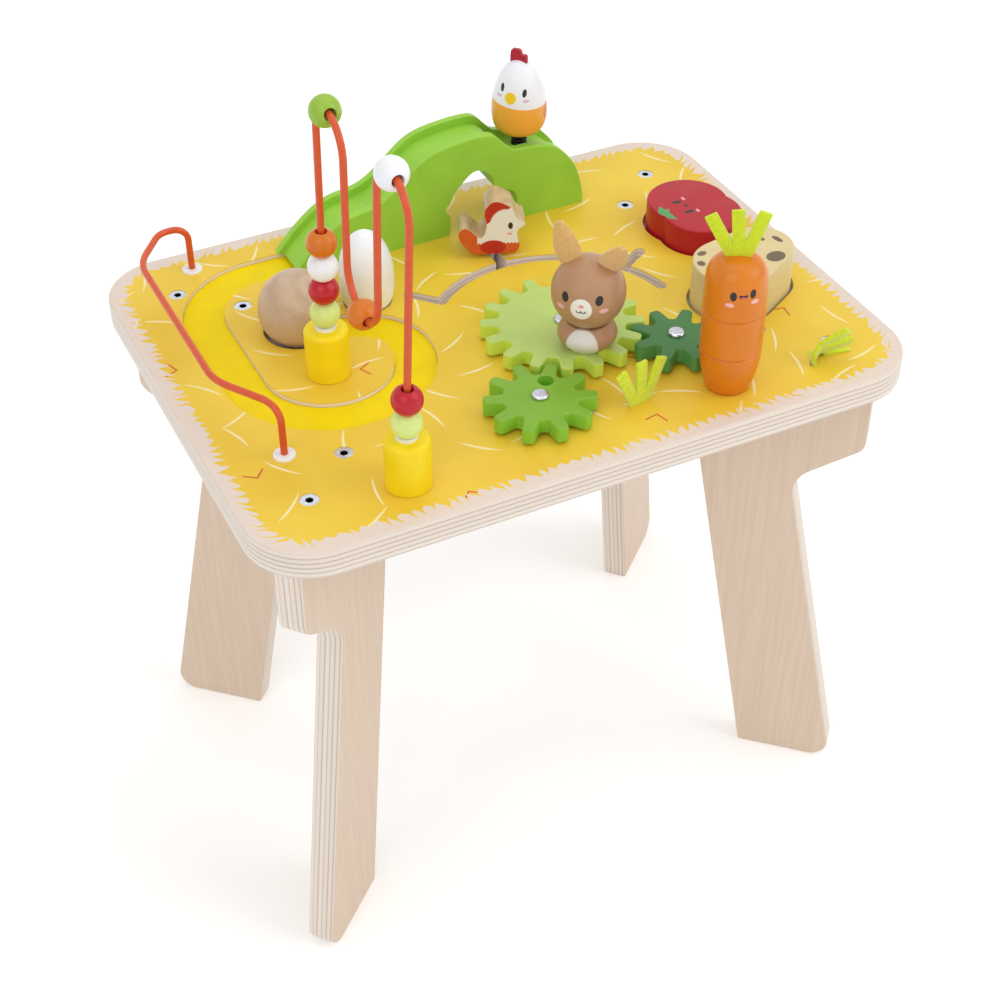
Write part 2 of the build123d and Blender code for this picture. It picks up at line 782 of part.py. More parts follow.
# Carrot
def carrot_round(outline, base):
    return turned(outline, carrot_place, base) - rod(
        carrot_peg_radius + carrot_peg_fit, carrot_peg_rise + seat_gap, carrot_place, deck
    )


low_bulge = carrot_foot_radius + (carrot_low_radius - carrot_foot_radius) * carrot_foot_swell_share
save("carrot_tip", carrot_round([
    Polyline((carrot_low_radius - carrot_groove, carrot_low_height), (0, carrot_low_height), (0, 0),
             (carrot_foot_radius, 0)),
    ThreePointArc((carrot_foot_radius, 0), (low_bulge, carrot_low_height / 2),
                  (carrot_low_radius, carrot_low_height - carrot_groove)),
    Line((carrot_low_radius, carrot_low_height - carrot_groove),
         (carrot_low_radius - carrot_groove, carrot_low_height)),
], deck))
save("carrot_middle", carrot_round(Polyline(
    (0, 0), (carrot_low_radius - carrot_groove, 0), (carrot_low_radius, carrot_groove),
    (carrot_mid_radius, carrot_mid_height - carrot_groove),
    (carrot_mid_radius - carrot_groove, carrot_mid_height), (0, carrot_mid_height), (0, 0),
), deck + carrot_low_height))
carrot_shoulder = carrot_top_height * (1 - carrot_dome_share)
carrot_head_base = deck + carrot_low_height + carrot_mid_height
carrot_top = carrot_round([
    Polyline((0, carrot_top_height), (0, 0), (carrot_mid_radius - carrot_groove, 0),
             (carrot_mid_radius, carrot_groove), (carrot_top_radius, carrot_shoulder)),
    Spline((carrot_top_radius, carrot_shoulder), (0, carrot_top_height), tangents=((0, 1), (-1, 0))),
], carrot_head_base)
carrot_crown = carrot_head_base + carrot_top_height
carrot_top -= leaf_tab(carrot_place, carrot_crown, -carrot_leaf_turn, felt_fit)
save("carrot_top", carrot_top)
peg = rod(carrot_peg_radius, carrot_peg_rise + carrot_peg_depth, carrot_place, deck - carrot_peg_depth)
screw_reach = deck + screw_bite + seat_gap
save("carrot_peg", peg - rod(screw_shank_radius + glue_fit, screw_reach - leg_height, carrot_place,
                             leg_height))


# Felt leaves
def leaf(place, base, turn):
    face = Rectangle(leaf_base_width, leaf_base_height, align=(Align.CENTER, Align.MIN))
    for fan in (-leaf_fan, 0, leaf_fan):
        finger = Rectangle(leaf_finger_width, leaf_finger_length, align=(Align.CENTER, Align.MIN))
        side = leaf_finger_width / 2 * (1 if fan > 0 else -1 if fan < 0 else 0)
        face += Pos(side, 0) * Rot(0, 0, -fan) * finger
    face -= Rectangle(4 * leaf_base_width, leaf_base_width, align=(Align.CENTER, Align.MAX))
    body = extrude(upright(place, base, turn) * face, leaf_thickness / 2, both=True)
    return body + leaf_tab(place, base, turn, 0)


save("carrot_leaf", leaf(carrot_place, carrot_crown, -carrot_leaf_turn))
save("felt_tuft_front", leaf(spot(front_tuft_share), deck, front_tuft_turn))
save("felt_tuft_side", leaf(spot(side_tuft_share), deck, side_tuft_turn))


# Bead maze, laid out in the upright plane of the two posts: run forward from the back post, level up
def maze_point(share):
    return post_span * share[0], maze_height * share[1]


def maze_place(point):
    return Vector(post_line, back_post[1] - point[0], deck + point[1])


def corner_turn(before, at, after):
    first = (at[0] - before[0], at[1] - before[1])
    second = (after[0] - at[0], after[1] - at[1])
    dot = first[0] * second[0] + first[1] * second[1]
    return acos(dot / hypot(*first) / hypot(*second))


def along_wire(foot, lean, run):
    return foot[0] + run * sin(lean), foot[1] + run * cos(lean)


arch_one = [maze_point(share) for share in maze_arch_one_shares]
dip = [maze_point(share) for share in maze_dip_shares]
arch_two = [maze_point(share) for share in maze_arch_two_shares]
back_foot = (0, post_height)
front_foot = (post_span, post_height)
back_lean = atan2(arch_one[0][0], arch_one[0][1] - post_height)
front_lean = atan2(arch_two[1][0] - post_span, arch_two[1][1] - post_height)
maze_points = [
    along_wire(back_foot, back_lean, -wire_bite), *arch_one, *dip, *arch_two,
    along_wire(front_foot, front_lean, -wire_bite),
]


def round_bend(index):
    # Radius and centre of the one arc that two corners share, so that a bead can run round it.
    first, second = maze_points[index], maze_points[index + 1]
    lead = tan(corner_turn(maze_points[index - 1], first, second) / 2)
    tail = tan(corner_turn(first, second, maze_points[index + 2]) / 2)
    radius = (second[0] - first[0]) / (lead + tail)
    side = -1 if maze_points[index - 1][1] < first[1] else 1
    return radius, (first[0] + radius * lead, first[1] + side * radius)


bends = {"arch_one": round_bend(1), "dip": round_bend(3), "arch_two": round_bend(5)}


def maze_wire():
    radii = [radius - end_relief for radius, centre in bends.values() for _ in range(2)]
    path = FilletPolyline(*[maze_place(point) for point in maze_points], radius=radii)
    section = Plane(origin=path @ 0, z_dir=path % 0) * Circle(wire_radius)
    wire = sweep(section, path)
    print("maze wire volume over section times length",
          round(wire.volume / (pi * wire_radius ** 2 * path.length), 4))
    return wire


def post(place, lean):
    body = rod(post_radius, post_height, place, deck)
    body = fillet(body.edges().sort_by(Axis.Z)[-1], post_edge_round)
    hole = Cylinder(wire_radius + glue_fit, 2 * wire_bite)
    body -= Pos(*place, deck + post_height) * Rot(degrees(lean), 0, 0) * hole
    return body - screw_bore(place)


def collar(place):
    return ring(collar_radius, wire_radius + collar_room, collar_height, place, deck + post_height)


def bead(point, along):
    shape = Sphere(bead_radius) & Cylinder(bead_radius, 2 * bead_half_length)
    shape -= Cylinder(bead_bore_radius, 2 * bead_radius)
    heading = Vector(0, -along[0], along[1])
    return Plane(origin=maze_place(point), z_dir=heading) * shape


def bend_bead(name, turn):
    radius, centre = bends[name]
    sag = radius - sqrt(radius ** 2 - bead_half_length ** 2)
    out = (cos(radians(turn)), sin(radians(turn)))
    reach = radius - sag / 2
    return bead((centre[0] + reach * out[0], centre[1] + reach * out[1]), (-out[1], out[0]))


bead_pitch = 2 * bead_half_length + bead_gap


def stacked_bead(foot, lean, count):
    run = collar_height + bead_lean_room + bead_half_length + bead_pitch * count
    return bead(along_wire(foot, lean, run), (sin(lean), cos(lean)))


save("maze_wire", maze_wire())
save("post_back", post(back_post, back_lean))
save("post_front", post(front_post, front_lean))
save("post_collars", collar(back_post), collar(front_post))
for level, colour in enumerate(("lime", "red", "white", "orange")):
    save(f"back_bead_{colour}", stacked_bead(back_foot, back_lean, level))
for level, colour in enumerate(("lime", "red")):
    save(f"front_bead_{colour}", stacked_bead(front_foot, front_lean, level))
save("arch_bead_green", bend_bead("arch_one", green_bead_turn))
save("arch_bead_white", bend_bead("arch_two", white_bead_turn))
save("dip_bead_orange", bend_bead("dip", dip_bead_turn))

# Guard rail
rail_feet = [spot(rail_back_share), spot(rail_front_share)]
rail_bends = [rail_corner_share, rail_turn_share, rail_front_turn_share, rail_end_turn_share]
rail_path = FilletPolyline(
    (*rail_feet[0], deck - rail_depth), (*rail_feet[0], deck + rail_height),
    *[(*spot(share), deck + rail_height) for share in rail_bends],
    (*rail_feet[1], deck + rail_height), (*rail_feet[1], deck - rail_depth),
    radius=[rail_foot_bend, rail_corner_bend, rail_side_bend, rail_side_bend, rail_end_bend,
            rail_foot_bend],
)
rail = sweep(Plane(origin=rail_path @ 0, z_dir=rail_path % 0) * Circle(rail_radius), rail_path)
print("rail volume over section times length",
      round(rail.volume / (pi * rail_radius ** 2 * rail_path.length), 4))
save("rail_wire", rail)


def grommet(place):
    body = ring(grommet_radius, rail_radius + glue_fit, grommet_height, place, deck)
    return fillet(body.edges().sort_by(Axis.Z)[-2:].sort_by(SortBy.RADIUS)[-1], grommet_edge_round)


save("rail_grommets", *[grommet(place) for place in rail_feet])
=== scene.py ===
import json
from math import acos, atan2, cos, degrees, pi, radians, sin, sqrt, tan

import bmesh
import bpy
from mathutils import Matrix, Vector


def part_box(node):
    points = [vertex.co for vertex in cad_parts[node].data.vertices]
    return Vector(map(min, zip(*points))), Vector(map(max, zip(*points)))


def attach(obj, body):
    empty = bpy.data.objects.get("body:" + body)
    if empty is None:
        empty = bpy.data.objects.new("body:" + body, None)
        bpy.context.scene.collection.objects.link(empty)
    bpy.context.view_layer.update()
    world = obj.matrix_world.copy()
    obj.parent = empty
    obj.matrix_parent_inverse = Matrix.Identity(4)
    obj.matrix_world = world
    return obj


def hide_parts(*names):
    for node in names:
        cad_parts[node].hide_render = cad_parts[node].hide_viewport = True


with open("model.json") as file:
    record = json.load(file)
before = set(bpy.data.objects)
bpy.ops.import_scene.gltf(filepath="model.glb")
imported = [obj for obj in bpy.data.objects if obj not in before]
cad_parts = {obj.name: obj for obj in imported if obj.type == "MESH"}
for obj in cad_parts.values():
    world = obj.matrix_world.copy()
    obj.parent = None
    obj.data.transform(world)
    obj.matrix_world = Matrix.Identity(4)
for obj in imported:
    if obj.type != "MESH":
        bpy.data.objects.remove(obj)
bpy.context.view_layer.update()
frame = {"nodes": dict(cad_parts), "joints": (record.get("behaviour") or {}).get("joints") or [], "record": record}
nodes = frame["nodes"]
joints = {joint["child"]: joint for joint in frame["joints"]}
bodyOf = {node: body for body, members in frame["record"]["behaviour"]["bodies"].items() for node in members}
mm = 0.001
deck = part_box("table_top")[1].z  # height of the board's face
print("frame loaded,", len(nodes), "nodes")


def middle(node):
    low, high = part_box(node)
    return (low + high) / 2


def onFloor(node):  # the middle of the bottom of the piece's box
    return Vector((*middle(node).xy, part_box(node)[0].z))


def heightOf(node):  # in millimetres
    low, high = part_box(node)
    return (high.z - low.z) / mm


def hexColour(code, factor=1.0):  # sRGB hex to linear, made darker or lighter by the factor
    parts = [int(code[i:i + 2], 16) / 255 for i in (1, 3, 5)]
    linear = [c / 12.92 if c <= 0.04045 else ((c + 0.055) / 1.055) ** 2.4 for c in parts]
    return tuple(min(c * factor, 1.0) for c in linear) + (1.0,)


def addNode(owner, kind, inputs=(), operation=None, **settings):  # inputs stand by name or in order
    tree = owner.node_tree
    made = tree.nodes.new("ShaderNode" + kind)
    if operation:
        made.operation = operation
    for name, value in settings.items():
        setattr(made, name, value)
    for socket, value in inputs.items() if isinstance(inputs, dict) else enumerate(inputs):
        if isinstance(value, bpy.types.NodeSocket):
            tree.links.new(value, made.inputs[socket])
        else:
            made.inputs[socket].default_value = hexColour(value) if isinstance(value, str) else value
    return next((output for output in made.outputs if output.enabled), None)  # the first live one


# Materials

def startMaterial(name, **sockets):  # a socket's name is written with _ for a space
    mat = bpy.data.materials.new(name)
    mat.use_nodes = True
    mat.node_tree.nodes.clear()
    named = {key.replace("_", " "): value for key, value in sockets.items()}
    shader = addNode(mat, "BsdfPrincipled", named).node
    addNode(mat, "OutputMaterial", {"Surface": shader.outputs[0]})
    return mat, shader


def connect(source, shader, socket):
    shader.id_data.links.new(source, shader.inputs[socket])


def localSpace(mat, origin=(0, 0, 0), turned=(0, 0, 0), unit=mm):  # turned in degrees
    coords = addNode(mat, "TexCoord").node.outputs["Object"]
    return addNode(mat, "Mapping", {"Vector": coords, "Location": origin, "Scale": [unit] * 3,
                                    "Rotation": [radians(angle) for angle in turned]}, vector_type="TEXTURE")


def belowTop(mat, node):  # height against the piece's top, in millimetres
    space = localSpace(mat, (0, 0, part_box(node)[1].z))
    return addNode(mat, "SeparateXYZ", [space]).node.outputs["Z"]


def grainBump(mat, shader, height, strength, depth):  # depth in millimetres
    bump = addNode(mat, "Bump", {"Height": height, "Strength": strength, "Distance": depth * mm})
    connect(bump, shader, "Normal")


def tones(mat, pattern, span, first, last):  # first to last colour as the pattern goes through its span
    share = addNode(mat, "MapRange", {"Value": pattern, "From Min": span[0], "From Max": span[1]})
    return addNode(mat, "Mix", {0: share, 6: first, 7: last}, data_type="RGBA")


def mottled(mat, pattern, code, look):  # one colour, darker and lighter along the pattern
    return tones(mat, pattern, look["span"], hexColour(code, look["dark"]), hexColour(code, look["light"]))


def colourIn(mat, shader, colour, dress):  # dress paints a piece's own marks over the colour
    connect(dress(mat, colour) if dress else colour, shader, "Base Color")


markEdge = (0.95, 1.05)  # a mark's edge fades out over this share of its size


def paintOval(mat, under, space, place, size, code, lean=0, pointed=False):  # place and size in millimetres
    local = addNode(mat, "Mapping", {"Vector": space, "Location": place, "Rotation": (0, radians(lean), 0),
                                     "Scale": size}, vector_type="TEXTURE")
    if pointed:  # a lozenge with its tips at the same places
        folded = addNode(mat, "VectorMath", [local], "ABSOLUTE")
        reach = addNode(mat, "VectorMath", [folded, (1, 1, 1)], "DOT_PRODUCT")
    else:
        reach = addNode(mat, "VectorMath", [local], "LENGTH")
    return tones(mat, reach, markEdge, code, under)


def paintMarks(mat, colour, space, front, marks):  # each mark: its place (x, z), size, colour and lean
    for (x, z), size, *finish in marks:
        colour = paintOval(mat, colour, space, (x, front, z), size, *finish)
    return colour


def paintArc(mat, under, space, place, size, width, code):  # the lower half of a ring, as a mouth
    local = addNode(mat, "Mapping", {"Vector": space, "Location": place, "Scale": size},
                    vector_type="TEXTURE")
    reach = addNode(mat, "VectorMath", [local], "LENGTH")
    off = addNode(mat, "Math", [reach, 1.0], "SUBTRACT")
    away = addNode(mat, "Math", [off], "ABSOLUTE")
    line = addNode(mat, "Math", [away, width / size[0]], "LESS_THAN")
    height = addNode(mat, "SeparateXYZ", [local]).node.outputs["Z"]
    low = addNode(mat, "Math", [height, 0.0], "LESS_THAN")
    cover = addNode(mat, "Math", [line, low], "MULTIPLY")
    return addNode(mat, "Mix", {0: cover, 6: under, 7: code}, data_type="RGBA")


# Satin lacquer sprayed on turned or sawn wood: an even colour, faint clouding and a fine peel that breaks
# the highlight.
lacquerLook = {"cloud": 16.0, "span": (0.3, 0.7), "dark": 0.95, "light": 1.04, "glossSwing": 0.05,
               "peel": 1.4, "bump": (0.05, 0.4)}  # bumps are strength and depth


def satinPaint(name, code, roughness=0.34, specular=0.3, dress=None):
    mat, shader = startMaterial(name, Coat_Weight=0.06, Coat_Roughness=0.22, Specular_IOR_Level=specular)
    space = localSpace(mat)
    cloud = addNode(mat, "TexNoise", {"Vector": space, "Scale": 1 / lacquerLook["cloud"], "Detail": 3.0})
    low, high = lacquerLook["span"]
    gloss = addNode(mat, "MapRange", {"Value": cloud, "From Min": low, "From Max": high,
                                      "To Min": roughness - lacquerLook["glossSwing"],
                                      "To Max": roughness + lacquerLook["glossSwing"]})
    connect(gloss, shader, "Roughness")
    peel = addNode(mat, "TexNoise", {"Vector": space, "Scale": 1 / lacquerLook["peel"], "Detail": 2.0})
    grainBump(mat, shader, peel, *lacquerLook["bump"])
    colourIn(mat, shader, mottled(mat, cloud, code, lacquerLook), dress)
    return mat


# Birch plywood under clear matt lacquer: long faint grain on the faces, thin light and dark layers on the
# sawn edges.
plyLook = {"face": "#e3cdb7", "faceDark": "#dbc4ad", "layerLight": "#f3e9de", "layerDeep": "#eaded1",
           "glueLine": "#ccb8a4", "faintest": 0.7, "layer": 1.55, "lineSpan": (0.15, 0.4), "waver": 0.35,
           "grainWidth": 2.6, "grainLength": 90.0, "grainSpan": (0.34, 0.66)}


def plyEdge(mat, across, fuzz):  # across is the way through the layers, in millimetres
    layer = plyLook["layer"]
    waved = addNode(mat, "Math", [fuzz, plyLook["waver"], across], "MULTIPLY_ADD")
    fold = addNode(mat, "Math", [waved, layer], "PINGPONG")
    start, end = plyLook["lineSpan"]
    band = addNode(mat, "MapRange", {"Value": fold, "From Min": start * layer, "From Max": end * layer})
    count = addNode(mat, "Math", [waved, 2 * layer], "DIVIDE")
    ply = addNode(mat, "Math", [count], "FLOOR")
    own = addNode(mat, "TexWhiteNoise", {"W": ply}, noise_dimensions="1D")  # each layer's own tone
    wood = addNode(mat, "Mix", {0: own, 6: plyLook["layerDeep"], 7: plyLook["layerLight"]}, data_type="RGBA")
    line = addNode(mat, "Math", [count], "ROUND")
    chance = addNode(mat, "TexWhiteNoise", {"W": line}, noise_dimensions="1D")
    faint = addNode(mat, "Math", [chance, plyLook["faintest"]], "MULTIPLY")
    clear = addNode(mat, "Math", [band, faint], "MAXIMUM")
    return addNode(mat, "Mix", {0: clear, 6: plyLook["glueLine"], 7: wood}, data_type="RGBA")


def plyFace(mat, space, along):  # along turns the grain, in degrees
    narrow, long = 1 / plyLook["grainWidth"], 1 / plyLook["grainLength"]
    stretched = addNode(mat, "Mapping", {"Vector": space, "Rotation": (0, radians(along), 0),
                                         "Scale": (narrow, narrow, long)})
    fibre = addNode(mat, "TexNoise", {"Vector": stretched, "Scale": 1.0, "Detail": 5.0, "Roughness": 0.62,
                                      "Distortion": 0.4})
    return tones(mat, fibre, plyLook["grainSpan"], plyLook["faceDark"], plyLook["face"]), fibre


# Turned or sawn beech under a thin clear finish: long brown flecks and soft rings that follow the turning.
beechLook = {"turned": ("#cbb095", "#b99c7c"), "sawn": ("#d9bd96", "#bf9c72"), "fleckWidth": 3.5,
             "fleckLength": 26.0, "ring": 30.0, "ringShare": 0.3, "span": (0.35, 0.95), "askew": (24, 18, 0),
             "bump": (0.05, 0.2)}


def beechWood(finish, centre, dress=None):
    light, dark = beechLook[finish]
    mat, shader = startMaterial(finish + "_beech", Roughness=0.42, Coat_Weight=0.1, Coat_Roughness=0.3)
    space = localSpace(mat, centre, beechLook["askew"])
    narrow, long = 1 / beechLook["fleckWidth"], 1 / beechLook["fleckLength"]
    stretched = addNode(mat, "Mapping", {"Vector": space, "Scale": (narrow, narrow, long)})
    fibre = addNode(mat, "TexNoise", {"Vector": stretched, "Scale": 1.0, "Detail": 6.0, "Roughness": 0.6,
                                      "Distortion": 0.6})
    rings = addNode(mat, "TexWave", {"Vector": space, "Scale": 1 / beechLook["ring"], "Distortion": 3.0,
                                     "Detail": 2.0}, wave_type="RINGS", rings_direction="Z").node.outputs
    both = addNode(mat, "Math", [rings["Fac"], beechLook["ringShare"], fibre], "MULTIPLY_ADD")
    grainBump(mat, shader, fibre, *beechLook["bump"])
    colourIn(mat, shader, tones(mat, both, beechLook["span"], dark, light), dress)
    return mat


# Pressed wool felt: matt, fuzzy, with a mottled colour and a soft sheen at the edge.
feltLook = {"fuzz": 0.7, "clump": 2.6, "span": (0.15, 0.36), "dark": 0.9, "light": 1.05, "bump": (0.55, 0.5),
            "softEdge": 0.35, "sharpAngle": 80}


def woolFelt(name, code):
    mat, shader = startMaterial(name, Roughness=0.92, Sheen_Weight=0.5, Sheen_Roughness=0.5,
                                Specular_IOR_Level=0.2)
    space = localSpace(mat)
    fuzz = addNode(mat, "TexNoise", {"Vector": space, "Scale": 1 / feltLook["fuzz"], "Detail": 6.0,
                                     "Roughness": 0.75})
    clump = addNode(mat, "TexNoise", {"Vector": space, "Scale": 1 / feltLook["clump"], "Detail": 3.0})
    both = addNode(mat, "Math", [fuzz, clump], "MULTIPLY")
    connect(mottled(mat, both, code, feltLook), shader, "Base Color")
    grainBump(mat, shader, fuzz, *feltLook["bump"])
    return mat


# Zinc-plated steel: bright grey, faintly blotched, with fine turning marks.
zincLook = {"code": "#c9ccd2", "blotch": 2.2, "span": (0.3, 0.7), "dark": 0.82, "light": 1.05,
            "smoother": 0.08, "rougher": 0.1, "bump": (0.06, 0.1)}


def zincSteel(name, code=zincLook["code"], roughness=0.3, dress=None):
    mat, shader = startMaterial(name, Metallic=1.0)
    space = localSpace(mat)
    blotch = addNode(mat, "TexNoise", {"Vector": space, "Scale": 1 / zincLook["blotch"], "Detail": 4.0})
    gloss = addNode(mat, "MapRange", {"Value": blotch, "To Min": roughness - zincLook["smoother"],
                                      "To Max": roughness + zincLook["rougher"]})
    connect(gloss, shader, "Roughness")
    grainBump(mat, shader, blotch, *zincLook["bump"])
    colourIn(mat, shader, mottled(mat, blotch, code, zincLook), dress)
    return mat


def fineSkin(mat, shader, code, look):  # one fine pattern mottles the colour and lifts the surface
    skin = addNode(mat, "TexNoise", {"Vector": localSpace(mat), "Scale": 1 / look["skin"], "Detail": 2.0})
    connect(mottled(mat, skin, code, look), shader, "Base Color")
    grainBump(mat, shader, skin, *look["bump"])


# Moulded nylon: white, faintly see-through at the edge, satin.
nylonLook = {"skin": 0.8, "span": (0.0, 1.0), "dark": 0.96, "light": 1.0, "bump": (0.04, 0.2)}


def mouldedNylon(name, code):
    mat, shader = startMaterial(name, Roughness=0.38, IOR=1.53, Subsurface_Weight=0.08,
                                Subsurface_Scale=1.5 * mm)
    fineSkin(mat, shader, code, nylonLook)
    return mat


# Powder-coated steel wire: smooth, with a shallow wavy skin.
coatLook = {"code": "#d75527", "skin": 2.5, "span": (0.3, 0.7), "dark": 0.94, "light": 1.05,
            "bump": (0.08, 0.3)}


def powderCoat(name):
    mat, shader = startMaterial(name, Roughness=0.32, Coat_Weight=0.1, Coat_Roughness=0.15,
                                Specular_IOR_Level=0.35)
    fineSkin(mat, shader, coatLook["code"], coatLook)
    return mat


# Pieces
meshLook = {"merge": 2e-6, "sharpAngle": 40, "facetAngle": 28, "latheSteps": 72, "wireSides": 20,
            "bendStep": 6}


def finishMesh(node, ending, bm, material, sharpAngle=meshLook["sharpAngle"]):
    bmesh.ops.remove_doubles(bm, verts=bm.verts, dist=meshLook["merge"])
    bmesh.ops.recalc_face_normals(bm, faces=bm.faces)
    limit = radians(sharpAngle)
    for edge in bm.edges:
        edge.smooth = len(edge.link_faces) != 2 or edge.calc_face_angle(0) < limit
    for face in bm.faces:
        face.smooth = True
    mesh = bpy.data.meshes.new(node + ending)
    bm.to_mesh(mesh)
    bm.free()
    mesh.materials.append(material)
    piece = bpy.data.objects.new(node + ending, mesh)
    bpy.context.scene.collection.objects.link(piece)
    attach(piece, bodyOf[node])
    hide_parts(node)
    return piece


def smoothed(node, material):  # the same solid with its facets joined, so that round faces shade round
    bm = bmesh.new()
    bm.from_mesh(nodes[node].data)
    finishMesh(node, "_finished", bm, material, meshLook["facetAngle"])


def aimed(place, heading):
    return Matrix.Translation(place) @ Vector((0, 0, 1)).rotation_difference(heading).to_matrix().to_4x4()


def lathe(node, profile, place, material, heading=Vector((0, 0, 1))):
    bm = bmesh.new()  # profile is (radius, height) in millimetres, closed on the axis or on itself
    ring = [bm.verts.new((radius * mm, 0, height * mm)) for radius, height in profile]
    pairs = list(zip(ring, ring[1:]))
    if profile[0][0] and profile[-1][0]:
        pairs.append((ring[-1], ring[0]))
    for pair in pairs:
        bm.edges.new(pair)
    bmesh.ops.spin(bm, geom=bm.verts[:] + bm.edges[:], cent=(0, 0, 0), axis=(0, 0, 1), angle=2 * pi,
                   steps=meshLook["latheSteps"], use_merge=True)
    bmesh.ops.transform(bm, matrix=aimed(place, heading), verts=bm.verts)
    finishMesh(node, "_turned", bm, material)


def arc(centre, size, start, end, count):
    turns = [radians(start + (end - start) * step / count) for step in range(count + 1)]
    return [(centre[0] + size[0] * cos(angle), centre[1] + size[1] * sin(angle)) for angle in turns]


def pushRing(bm, ring, travel):
    pushed = bmesh.ops.extrude_edge_only(bm, edges=ring)["geom"]
    moved = [item for item in pushed if isinstance(item, bmesh.types.BMVert)]
    bmesh.ops.translate(bm, vec=travel, verts=moved)
    return [item for item in pushed if isinstance(item, bmesh.types.BMEdge)
            and all(vert in pushed for vert in item.verts)]


# Printed board: a pale margin, a warm yellow field with a toothed border, and loose printed dashes and ticks
# under clear lacquer; sawn plywood layers wherever the board is cut.
printLook = {"field": "#efcd3f", "fieldDeep": "#e8c132", "cloud": 70.0, "cloudSpan": (0.35, 0.65),
             "margin": "#e7d8cd", "marginShare": 0.75, "marginWidth": 7.5, "corner": 38.5, "skin": 0.5,
             "toothPitch": 6.5, "toothDepth": 9.5, "toothLean": 0.45, "toothLeast": 0.5, "toothMost": 2.0,
             "swayWidth": 18.0, "sway": 16.0, "cellChaos": 0.75, "bump": (0.08, 0.25),
             "dash": "#f7e9b4", "dashCell": 34.0, "dashLength": 13.0, "dashWidth": 0.75, "dashBow": 1.6,
             "dashSeed": (11.0, 25.3, 0), "tick": "#d0642a", "tickCell": 58.0, "tickLength": 12.0,
             "tickHeight": 11.0, "tickWidth": 0.77, "tickSeed": (47.0, 108.1, 0), "tickRarity": 0.55}


def scatter(mat, space, cell, seed):  # the axes of each cell's own turned space, and a random number for it
    moved = addNode(mat, "VectorMath", [space, seed], "ADD")
    cells = addNode(mat, "TexVoronoi", {"Vector": moved, "Scale": 1 / cell,
                                        "Randomness": printLook["cellChaos"]},
                    voronoi_dimensions="2D").node.outputs
    local = addNode(mat, "VectorMath", [moved, cells["Position"]], "SUBTRACT")
    chance = addNode(mat, "SeparateXYZ", [cells["Color"]]).node.outputs
    spin = addNode(mat, "Math", [chance["X"], 2 * pi], "MULTIPLY")
    turned = addNode(mat, "VectorRotate", {"Vector": local, "Angle": spin}, rotation_type="Z_AXIS")
    return addNode(mat, "SeparateXYZ", [turned]).node.outputs, chance["Y"]


def dashes(mat, space):  # pointed at both ends and a little bowed
    axes, _ = scatter(mat, space, printLook["dashCell"], printLook["dashSeed"])
    width = printLook["dashWidth"]
    share = addNode(mat, "Math", [axes["X"], printLook["dashLength"]], "DIVIDE")
    square = addNode(mat, "Math", [share, share], "MULTIPLY")
    bowed = addNode(mat, "Math", [square, printLook["dashBow"], axes["Y"]], "MULTIPLY_ADD")
    thick = addNode(mat, "Math", [square, -width, width], "MULTIPLY_ADD")
    aside = addNode(mat, "Math", [bowed], "ABSOLUTE")
    return addNode(mat, "Math", [aside, thick], "LESS_THAN")


def ticks(mat, space):  # two strokes that meet in a point
    axes, chance = scatter(mat, space, printLook["tickCell"], printLook["tickSeed"])
    length = printLook["tickLength"]
    wing = addNode(mat, "Math", [axes["X"]], "ABSOLUTE")
    slope = addNode(mat, "Math", [wing, -printLook["tickHeight"] / length, axes["Y"]], "MULTIPLY_ADD")
    beside = addNode(mat, "Math", [slope], "ABSOLUTE")
    stroke = addNode(mat, "Math", [beside, printLook["tickWidth"]], "LESS_THAN")
    short = addNode(mat, "Math", [wing, length / 2], "LESS_THAN")
    chosen = addNode(mat, "Math", [chance, printLook["tickRarity"]], "GREATER_THAN")
    strokes = addNode(mat, "Math", [stroke, short], "MULTIPLY")
    return addNode(mat, "Math", [strokes, chosen], "MULTIPLY")


def insideBorder(mat, space, axes, size):
    # Distance in from the rounded outline
    corner = printLook["corner"]
    half = (size.x / 2 / mm - corner, size.y / 2 / mm - corner, 1000.0)  # height doesn't count
    folded = addNode(mat, "VectorMath", [space], "ABSOLUTE")
    past = addNode(mat, "VectorMath", [folded, half], "SUBTRACT")
    outside = addNode(mat, "VectorMath", [past, (0, 0, 0)], "MAXIMUM")
    rounded = addNode(mat, "VectorMath", [outside], "LENGTH")
    pastAxes = addNode(mat, "SeparateXYZ", [past]).node.outputs
    inner = addNode(mat, "Math", [pastAxes["X"], pastAxes["Y"]], "MAXIMUM")
    inside = addNode(mat, "Math", [inner, 0.0], "MINIMUM")
    signed = addNode(mat, "Math", [rounded, inside], "ADD")
    depth = addNode(mat, "Math", [corner, signed], "SUBTRACT")
    # Teeth of the border, each of its own depth and leaning along the edge
    atEnd = addNode(mat, "Math", [pastAxes["X"], pastAxes["Y"]], "GREATER_THAN")
    run = addNode(mat, "Mix", {0: atEnd, 2: axes["X"], 3: axes["Y"]})
    leaning = addNode(mat, "Math", [depth, printLook["toothLean"], run], "MULTIPLY_ADD")
    sway = addNode(mat, "TexNoise", {"Vector": space, "Scale": 1 / printLook["swayWidth"]})
    swayed = addNode(mat, "Math", [sway, printLook["sway"], leaning], "MULTIPLY_ADD")
    count = addNode(mat, "Math", [swayed, printLook["toothPitch"]], "DIVIDE")
    tooth = addNode(mat, "Math", [count, 0.5], "PINGPONG")
    number = addNode(mat, "Math", [count], "ROUND")
    own = addNode(mat, "TexWhiteNoise", {"W": number}, noise_dimensions="1D")
    tall = addNode(mat, "MapRange", {"Value": own, "To Min": printLook["toothLeast"],
                                     "To Max": printLook["toothMost"]})
    rise = addNode(mat, "Math", [tooth, tall], "MULTIPLY")
    deepest = printLook["marginWidth"] + printLook["toothDepth"] / 2
    border = addNode(mat, "Math", [rise, -printLook["toothDepth"], deepest], "MULTIPLY_ADD")
    return addNode(mat, "Math", [depth, border], "GREATER_THAN")


